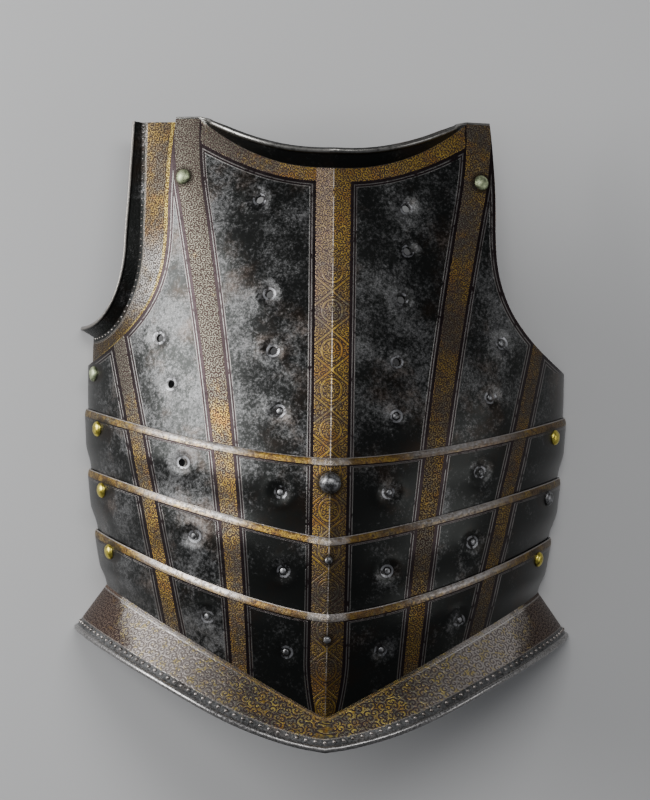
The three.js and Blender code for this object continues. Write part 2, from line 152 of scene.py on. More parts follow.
# Lining holes: plate (0 is the main plate), place, and whether a shank is left in it
LINING_HOLES = [dict(plate=plate, x=x, y=y, filled=filled)
                for plate, x, y, filled in [
    (0, -51, 158, False), (0, -43, 92, False), (0, -40, 53, False), (0, -35, 12, True),
    (1, -33, -43, True), (2, -30, -96, True), (3, -27, -151, True), (0, -119, 61, False),
    (0, -110, 29, False), (1, -100, -25, False), (2, -91, -75, True),
    (3, -81, -130, True), (0, 51, 154, False), (0, 52, 124, False), (0, 48, 90, False),
    (0, 45, 47, False), (0, 45, 10, True), (1, 40, -42, True), (2, 40, -95, True),
    (3, 37, -149, True), (0, 120, 62, True), (0, 112, 24, True), (1, 105, -28, True),
    (2, 100, -76, True), (3, 92, -130, True),
]]
HOLE_RADIUS, SHANK_HOLE_RADIUS, DRILL_REACH = 2.8, 2.4, 7

# Rivets: their places, then the plates held, outermost first, the hole and the head
SHOULDER_RIVET = (104.5, 174.5)
GUSSET_RIVET = (-166.5, 35.5)
SIDE_RIVETS = [(160.3, -3.5), (156, -46.7), (150, -90)]
STUD_Y = -36
RIDGE_RIVET_Y = {2: -87.6, 3: -141}
RIVETS = [dict(plates=plates, x=x, y=y, hole=hole, head=head)
          for plates, x, y, hole, head in [
    *(([0], side * SHOULDER_RIVET[0], SHOULDER_RIVET[1], 2.5, 5.5) for side in (-1, 1)),
    ([0], *GUSSET_RIVET, 2.5, 5.5),
    *(([k + 1, k], side * x, y, 2.5, 5.5)
      for k, (x, y) in enumerate(SIDE_RIVETS) for side in (-1, 1)),
    ([1], 0, STUD_Y, 2.7, 7.4),
    *(([plate], 0, y, 1.9, 2.6) for plate, y in RIDGE_RIVET_Y.items()),
]]
DISH_DEPTH, DISH_RADIUS = 0.9, 5.0
LIP_HEIGHT, LIP_RADIUS, LIP_WIDTH = 0.28, 9.0, 2.5


def falling(y, top_y, top, up, down):
    """A line that is highest at top_y and falls off both ways. up and down give its
    drop, the run that the drop takes, and the power of the fall."""
    for away, (drop, run, power) in ((y - top_y, up), (top_y - y, down)):
        top = top - drop * (np.maximum(away, 0) / run) ** power
    return top


def ridge_height(y):
    return falling(y, BELLY_Y, BELLY_HEIGHT, RIDGE_UP, RIDGE_DOWN)


def half_width(y):
    return falling(y, WIDEST_Y, WIDEST_HALF, WIDTH_UP, WIDTH_DOWN)


def share_at(girth):
    return 1 - (1 - np.abs(girth)) ** PACKING


def girth_at(share):
    return 1 - (1 - np.clip(share, 0, 1)) ** (1 / PACKING)


def body_point(girth, y):
    share = share_at(girth)
    slope = np.maximum(1 - KEEL * share - (1 - KEEL) * share ** ROUNDING, 0)
    height = ridge_height(y) * slope ** (1 / FULLNESS)
    return np.stack([np.sign(girth) * half_width(y) * share, y, height], axis=-1)


def unit(vectors):
    return vectors / np.linalg.norm(vectors, axis=-1, keepdims=True)


def body_normal(girth, y):
    """Outward normal; on the ridge it is the mean of the two flanks, made longer so
    that a wall offset along it keeps its thickness."""
    step = 1e-3
    size = np.abs(girth)
    across = (body_point(np.minimum(size + step, 1), y)
              - body_point(np.maximum(size - step, 0), y))
    along = body_point(size, y + step) - body_point(size, y - step)
    normal = unit(np.cross(across, along))
    on_ridge = size < 1e-6
    normal[..., 0] = np.where(on_ridge, 0, normal[..., 0] * np.where(girth < 0, -1, 1))
    length = np.where(on_ridge, normal[..., 1] ** 2 + normal[..., 2] ** 2, 1)
    return normal / length[..., None]


def hammering(x, y):
    """Slow unevenness left by the hammer, the same for every plate at one place."""
    return (0.16 * np.sin(0.061 * x + 1.3) * np.sin(0.052 * y + 0.4)
            + 0.10 * np.sin(0.117 * x + 0.083 * y)
            + 0.07 * np.sin(0.171 * y - 0.093 * x + 2.1))


def nearest(x, y, circles):
    """Distance to the nearest of some circles (x, y, radius), in mm over the front."""
    found = np.full(np.shape(x), 99.0)
    for center_x, center_y, radius in circles:
        found = np.minimum(found, np.hypot(x - center_x, y - center_y) - radius)
    return found


def hole_distance(plate, x, y):
    """Distance to the middle of the nearest lining hole of a plate."""
    return nearest(x, y, [(hole["x"], hole["y"], 0) for hole in LINING_HOLES
                          if hole["plate"] == plate])


def rivet_distance(plate, x, y):
    """Distance to the edge of the nearest rivet head on a plate."""
    return nearest(x, y, [(rivet["x"], rivet["y"], rivet["head"]) for rivet in RIVETS
                          if rivet["plates"][0] == plate])


def dishing(distance):
    """Dent round a lining hole, with a faint lip where the metal moved."""
    dish = -DISH_DEPTH * np.exp(-(distance / DISH_RADIUS) ** 2)
    lip = LIP_HEIGHT * np.exp(-((distance - LIP_RADIUS) / LIP_WIDTH) ** 2)
    return dish + lip


def on_plate(plate, girth, y, depth):
    base = body_point(girth, y)
    depth = depth + hammering(base[..., 0], y)
    depth = depth + dishing(hole_distance(plate, base[..., 0], y))
    depth = depth - np.where(np.abs(girth) < 1e-6, RIDGE_SOFTENING, 0)
    point = base + body_normal(girth, y) * depth[..., None]
    point[..., 2] = np.where(np.abs(girth) == 1, 0, point[..., 2])
    return point


def edge_y(edge, girth):
    return edge["center"] + edge["rise"] * share_at(girth) ** edge["power"]


def lap_depth(girth):
    return LAP_RIDGE + (LAP_SIDE - LAP_RIDGE) * share_at(girth) ** 2


def arm_x(y):
    above = np.clip((y - ARM_WAIST_Y) / (SHOULDER_Y - ARM_WAIST_Y), 0, None)
    below = np.clip((ARM_WAIST_Y - y) / (ARM_WAIST_Y - CORNER_Y), 0, 1)
    flare = half_width(np.float64(CORNER_Y)) - ARM_WAIST
    return ARM_WAIST - (ARM_WAIST - ARM_TOP) * above ** 2 + flare * below ** ARM_POWER


def plate_half_width(y):
    return np.where(y > CORNER_Y, arm_x(y), half_width(y))


NECK_HALF = float(share_at(SHOULDER_SHARE)) * ARM_TOP


def neck_y(x):
    return NECK_Y + NECK_RISE * np.minimum(np.abs(x) / NECK_HALF, 1) ** NECK_POWER


def column_top(girth):
    y = np.full(np.shape(girth), float(SHOULDER_Y))
    for _ in range(8):
        y = neck_y(share_at(girth) * plate_half_width(y))
    return y


def arc_across(grid):
    """Length along each row of a grid, over the metal, from the ridge column."""
    steps = np.linalg.norm(np.diff(grid, axis=0), axis=-1)
    along = np.concatenate([np.zeros((1, grid.shape[1])), np.cumsum(steps, axis=0)])
    return along - along[len(along) // 2]


def steepness(girth, y):
    """How much longer the metal is than its width seen from the front."""
    normal = body_normal(girth, y)
    return np.minimum(1 / np.maximum(normal[..., 2], 0.2), 4)


def stripe_fields(x, y, stretch=1):
    """Distance outside the nearest upright band, and the place across that band, over
    the metal."""
    inner = 74.3 + 0.1235 * y + 0.000166 * y ** 2 - 0.0019 * np.maximum(y - 160, 0) ** 2
    outer = 135.4 + 0.215 * y
    taper = 5 * np.clip((-158 - y) / 38, 0, 1) ** 1.5
    bands = [(0 * y, 11.4 + 0.0035 * y - taper), (inner, 6.6 + 0.0105 * y),
             (outer, 4.4 + 0 * y)]
    across = np.stack([np.abs(x) - center for center, _ in bands])
    outside = np.stack([np.abs(a) - half for a, (_, half) in zip(across, bands)])
    closest = np.argmin(outside, axis=0)[None]
    return (np.take_along_axis(outside, closest, 0)[0],
            np.take_along_axis(across, closest, 0)[0] * stretch)


def turned_edge(crease, out, away, width, angle, roll, rows=12, roll_rows=9):
    """Points of a flange turned out from a crease and rolled at its end: outer grid,
    inner grid, and the distance of each row from the crease."""
    turn = np.radians(angle)
    run = away * np.cos(turn) + out * np.sin(turn)
    face = out * np.cos(turn) - away * np.sin(turn)

    def at(along, over):
        return crease + run * along + face * over

    flat = [(width[..., None] - roll[..., None]) * s for s in np.linspace(0, 1, rows)[1:]]
    bends = np.radians(np.linspace(148, 10, roll_rows))
    width_, roll_ = width[..., None], roll[..., None]
    rolled = [(width_ + roll_ * math.cos(b), roll_ * math.sin(b)) for b in bends]
    outer = [at(along, 0 * along) for along in flat]
    outer += [at(along, -WALL / 2 + over) for along, over in rolled]
    inner = [at(along, 0 * along - WALL) for along in flat]
    inner += [at(along, -WALL / 2 - over) for along, over in rolled]
    reach = [along[..., 0] for along in flat] + [along[..., 0] for along, _ in rolled]
    return np.stack(outer, 1), np.stack(inner, 1), np.stack(reach, 1)


def joined(*grids):
    return np.concatenate(grids, 1)


def crisp(mesh):
    """Smooth shading that stays sharp at the edges of a plate or a rivet."""
    mesh.shade_smooth()
    mesh.set_sharp_from_angle(angle=SHARP_ANGLE)


def closed_wall(name, outer, inner, maps, finishes, finish_of_row=None):
    """A plate's mesh from its outer and inner grids. maps are UV maps in mm, one pair
    of values for each grid point; inner faces take the last finish."""
    columns, rows = outer.shape[:2]
    points = np.concatenate([outer.reshape(-1, 3), inner.reshape(-1, 3)]) * MM
    number = np.arange(columns * rows).reshape(columns, rows)
    a, b = number[:-1, :-1], number[1:, :-1]
    c, d = number[1:, 1:], number[:-1, 1:]
    shift = columns * rows
    front = np.stack([a, b, c, d], -1)
    behind = np.stack([d, c, b, a], -1) + shift
    row_finish = np.zeros(rows - 1, int) if finish_of_row is None else finish_of_row
    front_finish = np.broadcast_to(row_finish, front.shape[:2])
    rims = []
    for edge, flip in ((number[:, 0], True), (number[:, -1], False),
                       (number[0, :], False), (number[-1, :], True)):
        p, q = edge[:-1], edge[1:]
        if flip:
            p, q = q, p
        rims.append(np.stack([p, q, q + shift, p + shift], -1))
    rims = np.concatenate(rims)
    quads = np.concatenate([front.reshape(-1, 4), behind.reshape(-1, 4), rims])
    last = len(finishes) - 1
    slots = np.concatenate([front_finish.reshape(-1),
                            np.full(front.shape[0] * front.shape[1], last),
                            np.zeros(len(rims), int)])
    mesh = bpy.data.meshes.new(name)
    mesh.from_pydata(points.tolist(), [], quads.tolist())
    mesh.polygons.foreach_set("material_index", slots.astype(np.int32))
    for map_name, (u, v) in maps.items():
        layer = mesh.uv_layers.new(name=map_name)
        values = np.stack([u.reshape(-1), v.reshape(-1)], -1)
        values = np.concatenate([values, values])
        corners = values[quads.reshape(-1)].reshape(-1)
        layer.data.foreach_set("uv", corners.astype(np.float32))
    for finish in finishes:
        mesh.materials.append(finish)
    crisp(mesh)
    mesh.update()
    piece = new_object(name, mesh)
    return piece


def outer_depth(plate, girth, y):
    """Lift of a plate's outer face: a lame stands off where it laps the plate above
    it, and comes back before the next lame laps over it."""
    if plate == 0:
        return np.zeros(np.shape(y))
    top = edge_y(EDGES[plate - 1], girth) - lap_depth(girth) - BLEND_MARGIN
    bottom = edge_y(EDGES[plate], girth) + BLEND_MARGIN
    t = np.clip((y - bottom) / (top - bottom), 0, 1)
    return LIFT * t * t * (3 - 2 * t)


def place_on(plate, x, y):
    """Point on a plate's undented outer face and the unit normal there."""
    x, y = np.float64(x), np.float64(y)
    girth = girth_at(abs(x) / half_width(y)) * (-1 if x < 0 else 1)
    normal = body_normal(np.atleast_1d(girth), np.atleast_1d(y))[0]
    depth = float(outer_depth(plate, girth, y)) + float(hammering(x, y))
    point = body_point(np.atleast_1d(girth), np.atleast_1d(y))[0] + normal * depth
    return point, normal / np.linalg.norm(normal)


# Columns of the plates, with one more pair close to the ridge to keep it crisp
columns = np.linspace(-1, 1, 2 * HALF_COLUMNS + 1)
columns = np.sort(np.concatenate([columns, [-RIDGE_COLUMN, RIDGE_COLUMN]]))


def main_plate():
    bottom = edge_y(EDGES[0], columns) - lap_depth(columns)
    top = column_top(columns)
    climb = np.linspace(0, 1, 30)[None, :-1]
    lower = bottom[:, None] + (CORNER_Y - bottom[:, None]) * climb
    rise = np.linspace(0, 1, 88) ** 1.15
    upper = CORNER_Y + (top[:, None] - CORNER_Y) * rise[None]
    y = joined(lower, upper)
    share = share_at(columns)[:, None] * plate_half_width(y) / half_width(y)
    girth = girth_at(share) * np.sign(columns)[:, None]
    girth = np.where((np.abs(columns)[:, None] == 1) & (y <= CORNER_Y),
                     columns[:, None], girth)
    outer = on_plate(0, girth, y, 0 * y)
    inner = on_plate(0, girth, y, 0 * y - WALL)

    out = unit(body_normal(girth[:, -1], top))
    crease = outer[:, -1]
    edge = unit(np.gradient(crease, axis=0))
    away = unit(np.cross(out, edge))
    straight = unit(np.array([0, 1, 0]) - out * out[:, 1:2])
    on_shoulder = np.abs(columns) >= SHOULDER_SHARE - 1e-6
    away = np.where(on_shoulder[:, None], straight, away)
    from_middle = np.minimum(share_at(columns) * ARM_TOP / NECK_HALF, 1)
    turned = 1 - from_middle ** 3
    roll = WALL / 2 + (ROLL_RADIUS - WALL / 2) * np.minimum(1, turned * 2)
    width = NECK_FLANGE_WIDTH * turned + roll
    angle = (NECK_FLANGE_ANGLE * np.minimum(1, turned * 4))[:, None]
    f_outer, f_inner, f_reach = turned_edge(crease, out, away, width, angle, roll)
    outer = joined(outer, f_outer)
    inner = joined(inner, f_inner)

    x = outer[..., 0]
    flange_rows = f_reach.shape[1]
    y_flat = joined(y, np.repeat(top[:, None], flange_rows, 1))
    slope = np.gradient(neck_y(x), axis=0) / np.gradient(x, axis=0)
    below_neck = (neck_y(x) - y_flat) / np.sqrt(1 + slope ** 2)
    below_neck[:, -flange_rows:] = -f_reach
    half_band = (NECK_BAND + NECK_BAND_FLARE * (np.abs(x) / NECK_HALF) ** 4) / 2
    neck_band = np.abs(below_neck - half_band) - half_band
    neck_band = np.where(np.abs(x) > NECK_HALF - 1, OFF_BAND, neck_band)
    arm_slope = (arm_x(y_flat + 0.5) - arm_x(y_flat - 0.5))
    from_arm = (arm_x(y_flat) - np.abs(x)) / np.sqrt(1 + arm_slope ** 2)
    from_arm = np.where(y_flat > CORNER_Y, from_arm, OFF_BAND)
    stretch = steepness(girth, y)
    stretch = joined(stretch, np.repeat(stretch[:, -1:], flange_rows, 1))
    outside, across = stripe_fields(x, y_flat, stretch)
    outside[:, -flange_rows:] = OFF_BAND
    edge_outside, edge_across = np.minimum(neck_band, from_arm), below_neck - half_band
    edge_outside[:, -flange_rows:] = OFF_BAND
    edge_across[:, -flange_rows:] = width[:, None] + roll[:, None] - f_reach
    maps = {"bands": (outside, across), "edges": (edge_outside, edge_across),
            "wear": (hole_distance(0, x, y_flat), rivet_distance(0, x, y_flat)),
            "arc": (arc_across(outer), y_flat)}
    finish_of_row = np.zeros(outer.shape[1] - 1, int)
    finish_of_row[-flange_rows:] = 1
    return closed_wall("main_plate_steel", outer, inner, maps,
                       [plate_finish, turned_finish, inside_finish], finish_of_row)


def hole_list(plate):
    """Holes of one plate: place, normal and radius. A rivet's holes line up with its
    place on the outermost plate that it holds."""
    holes = []
    for hole in LINING_HOLES:
        if hole["plate"] == plate:
            radius = SHANK_HOLE_RADIUS if hole["filled"] else HOLE_RADIUS
            holes.append((*place_on(plate, hole["x"], hole["y"]), radius))
    for rivet in RIVETS:
        if plate in rivet["plates"]:
            holes.append((*place_on(rivet["plates"][0], rivet["x"], rivet["y"]),
                          rivet["hole"]))
    return holes


def circle_points(place, normal, radius, height, sides):
    """Points of a circle round a normal, at a height over a place, in metres."""
    tilt = Vector(normal).to_track_quat("Z", "Y").to_matrix()
    points = []
    for k in range(sides):
        bend = math.tau * k / sides
        flat = Vector((radius * math.cos(bend), radius * math.sin(bend), height))
        points.append(tuple((Vector(place) + tilt @ flat) * MM))
    return points


def plain_mesh(piece):
    """A piece's mesh as its modifiers leave it."""
    evaluated = piece.evaluated_get(bpy.context.evaluated_depsgraph_get())
    return bpy.data.meshes.new_from_object(evaluated)


def drill(piece, holes, sides=22):
    """Cuts round holes square to a plate's face."""
    points, faces = [], []
    for place, normal, radius in holes:
        first = len(points)
        for height in (-DRILL_REACH, DRILL_REACH):
            points += circle_points(place, normal, radius, height, sides)
        for k in range(sides):
            m = (k + 1) % sides
            faces.append((first + k, first + m, first + sides + m, first + sides + k))
        faces.append([first + k for k in reversed(range(sides))])
        faces.append([first + sides + k for k in range(sides)])
    tool_mesh = bpy.data.meshes.new("drill")
    tool_mesh.from_pydata(points, [], faces)
    tool_mesh.materials.append(inside_finish)
    tool = new_object("drill", tool_mesh)
    cut = piece.modifiers.new("holes", "BOOLEAN")
    cut.operation = "DIFFERENCE"
    cut.solver = "MANIFOLD"
    cut.material_mode = "TRANSFER"
    cut.object = tool
    drilled = plain_mesh(piece)
    piece.modifiers.remove(cut)
    piece.data = drilled
    bpy.data.objects.remove(tool)
    crisp(drilled)


def step(operation, swapped=False):
    """An operator of Wire, which adds one math node."""
    if swapped:
        return lambda self, other: calc(operation, other, self)
    return lambda self, *others: calc(operation, self, *others)


class Wire:
    """The value at a node's output, worked on like a number: each step adds a node."""

    def __init__(self, socket):
        self.socket = socket

    __add__, __radd__ = step("ADD"), step("ADD", swapped=True)
    __sub__, __rsub__ = step("SUBTRACT"), step("SUBTRACT", swapped=True)
    __mul__, __rmul__ = step("MULTIPLY"), step("MULTIPLY", swapped=True)
    __truediv__ = step("DIVIDE")
    __lt__, __gt__ = step("LESS_THAN"), step("GREATER_THAN")
    __abs__ = step("ABSOLUTE")


def feed(socket, value):
    """Joins a wire to an input, or sets the value there; None leaves it as it is."""
    if isinstance(value, Wire):
        socket.id_data.links.new(value.socket, socket)
    elif value is not None:
        socket.default_value = value


def wires(node):
    """A node's outputs as wires, by name and by place."""
    found = {output.name: Wire(output) for output in node.outputs}
    found.update((place, Wire(output)) for place, output in enumerate(node.outputs))
    return found


def add(tree, kind, *inputs, named=None, **settings):
    """The wires of a new node, whose inputs are given in order or by name."""
    node = tree.nodes.new(kind)
    for name, value in settings.items():
        setattr(node, name, value)
    for key, value in [*enumerate(inputs), *(named or {}).items()]:
        feed(node.inputs[key], value)
    return wires(node)


def tree_of(*values):
    """The node tree that holds the first wire among some values."""
    return next(value.socket.id_data for value in values if isinstance(value, Wire))


def calc(operation, *inputs):
    return add(tree_of(*inputs), "ShaderNodeMath", *inputs, operation=operation)[0]


def larger(first, second):
    return calc("MAXIMUM", first, second)


def ramp(value, start, end):
    """0 to 1, smooth, as value goes from start to end."""
    return add(tree_of(value), "ShaderNodeMapRange", value, start, end, 0.0, 1.0,
               interpolation_type="SMOOTHSTEP")[0]


def blend(factor, first, second):
    """Mix of two plain values."""
    return add(tree_of(factor, first, second), "ShaderNodeMix", factor, None, first,
               second)[0]


def mixed(factor, first, second):
    """Mix of two colours, each a wire or four numbers."""
    return add(tree_of(factor, first, second), "ShaderNodeMix", factor, *[None] * 5,
               first, second, data_type="RGBA")[2]


def noise(tree, scale, detail=3.0, roughness=0.6, shift=0.0):
    """Noise over the piece's own coordinates; scale is in features per metre."""
    place = add(tree, "ShaderNodeTexCoord")["Object"]
    if shift:
        place = add(tree, "ShaderNodeVectorMath", place, (shift, shift, shift),
                    operation="ADD")[0]
    return add(tree, "ShaderNodeTexNoise", place, None, scale, detail, roughness)[0]


def group(name, inputs, outputs):
    """A shader node group with float inputs and named outputs: its tree, the wires of
    its inputs, and the sockets that take its outputs."""
    tree = bpy.data.node_groups.new(name, "ShaderNodeTree")
    for label, value in inputs:
        socket = tree.interface.new_socket(label, in_out="INPUT",
                                           socket_type="NodeSocketFloat")
        socket.default_value = value
    for label, kind in outputs:
        tree.interface.new_socket(label, in_out="OUTPUT", socket_type=kind)
    return tree, add(tree, "NodeGroupInput"), tree.nodes.new("NodeGroupOutput").inputs


def place_group(tree, shared, **values):
    """Puts a node group in a material; a name's underscores stand for spaces."""
    named = {name.replace("_", " "): value for name, value in values.items()}
    return add(tree, "ShaderNodeGroup", named=named, node_tree=shared)


# Dense etched scrolls: small curls in cells, turning either way
scrolls, given, out = group(
    "etched_scrolls", [("Across", 0), ("Along", 0), ("Curl Size", 3.5), ("Strapwork", 0),
                       ("Ring Step", 27), ("Ring Radius", 7.5)],
    [("Raised", "NodeSocketFloat")])
u = given["Across"] / given["Curl Size"]
v = given["Along"] / given["Curl Size"]
plane = add(scrolls, "ShaderNodeCombineXYZ", u, v, 0.0)[0]
cell = add(scrolls, "ShaderNodeTexVoronoi", plane, named={"Scale": 1, "Randomness": 0.75},
           voronoi_dimensions="2D")
offset = add(scrolls, "ShaderNodeVectorMath", plane, cell["Position"],
             operation="SUBTRACT")[0]
parts = add(scrolls, "ShaderNodeSeparateXYZ", offset)
bearing = calc("ARCTAN2", parts[1], parts[0])
hand = add(scrolls, "ShaderNodeSeparateColor", cell["Color"])[0]
hand = (hand > 0.5) * 2.0 - 1.0
wound = bearing * hand * (1 / math.tau)
wound = wound + cell["Distance"] * 2.1
phase = calc("FRACT", wound)
fold = abs(phase - 0.5) * 2.0
curl = ramp(fold, 0.38, 0.62)
near = calc("PINGPONG", given["Along"], given["Ring Step"] * 0.5)
radius = calc("SQRT", near * near + given["Across"] * given["Across"])
ring = abs(radius - given["Ring Radius"])
far = given["Ring Step"] * 0.5 - near
cross = abs(given["Across"] - far * 1.3) * 0.62
strap_gap = calc("MINIMUM", ring, cross)
strap = ramp(strap_gap, 0.85, 0.55) * given["Strapwork"]
groove = ramp(strap_gap, 1.6, 1.2) * given["Strapwork"]
clear = 1.0 - groove
feed(out["Raised"], larger(curl * clear, strap))

# Blackened steel with the black rubbed off in specks and patches, and some rust
rubbed, given, out = group(
    "rubbed_black", [("Rubbing", 0.5), ("Rust", 0.5)],
    [("Color", "NodeSocketColor"), ("Roughness", "NodeSocketFloat"),
     ("Bare", "NodeSocketFloat")])
fine = noise(rubbed, 420, 7.0, 0.78)
patch = noise(rubbed, 38, 3.0, 0.6, 3.1)
level = fine + (patch - 0.5) * 0.6
level = level + (given["Rubbing"] - 0.5) * 0.35
bare = ramp(level, 0.43, 0.8)
speck = bare * ramp(noise(rubbed, 1000, 5.0, 0.8, 2.9), 0.44, 0.66)
rust = ramp(noise(rubbed, 26, 5.0, 0.65, 7.7), 0.5, 0.72) * given["Rust"]
shade = mixed(bare, (0.017, 0.018, 0.017, 1), (0.105, 0.105, 0.104, 1))
shade = mixed(speck, shade, (0.25, 0.25, 0.255, 1))
shade = mixed(rust, shade, mixed(bare, (0.03, 0.017, 0.01, 1), (0.15, 0.1, 0.07, 1)))
feed(out["Color"], shade)
feed(out["Roughness"], 0.28 + bare * 0.22)
feed(out["Bare"], bare)

# Etched and gilt ground: gold on the raised lines, dark between, worn here and there
gilding, given, out = group(
    "worn_gilding", [("Raised", 0), ("Wear", 0.5), ("Patch Scale", 30),
                     ("Ground Warmth", 0.5)],
    [("Color", "NodeSocketColor"), ("Roughness", "NodeSocketFloat")])
loss = noise(gilding, given["Patch Scale"], 4.0, 0.65, 1.9) + (given["Wear"] - 0.5) * 0.6
loss = loss + (noise(gilding, 260, 4.0, 0.7, 8.1) - 0.5) * 0.5
loss = ramp(loss, 0.38, 0.68)
grain = noise(gilding, 700, 3.0, 0.7, 5.2)
gold = mixed(ramp(grain, 0.3, 0.7), (0.15, 0.085, 0.02, 1), (0.52, 0.345, 0.06, 1))
burnt = ramp(noise(gilding, 75, 4.0, 0.65, 11.3), 0.46, 0.64)
gold = mixed(burnt * 0.6, gold, (0.3, 0.13, 0.03, 1))
steel = mixed(ramp(grain, 0.3, 0.7), (0.06, 0.056, 0.044, 1), (0.175, 0.163, 0.125, 1))
top_color = mixed(loss, gold, steel)
ground = mixed(given["Ground Warmth"], (0.04, 0.032, 0.038, 1), (0.06, 0.033, 0.02, 1))
feed(out["Color"], mixed(given["Raised"], ground, top_color))
feed(out["Roughness"], 0.55 - given["Raised"] * 0.17)


def uv(tree, name):
    """The two values of a UV map, in mm."""
    place = add(tree, "ShaderNodeUVMap", uv_map=name)[0]
    return add(tree, "ShaderNodeSeparateXYZ", place)


def place_mm(tree):
    """Object coordinates across the body and along it, in mm."""
    place = add(tree, "ShaderNodeTexCoord")["Object"]
    axes = add(tree, "ShaderNodeSeparateXYZ", place)
    return axes[0] * 1000.0, axes[1] * 1000.0


def new_finish(name, metallic=0.9):
    finish = bpy.data.materials.new(name)
    finish.use_nodes = True
    shader = finish.node_tree.nodes["Principled BSDF"]
    shader.inputs["Metallic"].default_value = metallic
    return finish, finish.node_tree, shader.inputs


def dress(surface, color, roughness, height=None, depth_mm=0.0):
    """Joins the look of a finish to its shader, with a bump where a height is given."""
    feed(surface["Base Color"], color)
    feed(surface["Roughness"], roughness)
    if height is not None:
        feed(surface["Normal"], add(tree_of(height), "ShaderNodeBump", named={
            "Distance": depth_mm * MM, "Strength": 0.6, "Height": height})[0])


def line_mask(distance, center, half):
    return ramp(abs(distance - center), half + 0.12, half - 0.12)


def between(value, low, high, blur):
    """1 where value lies between two limits, with soft ends."""
    return ramp(value, low - blur, low + blur) * ramp(value, high + blur, high - blur)


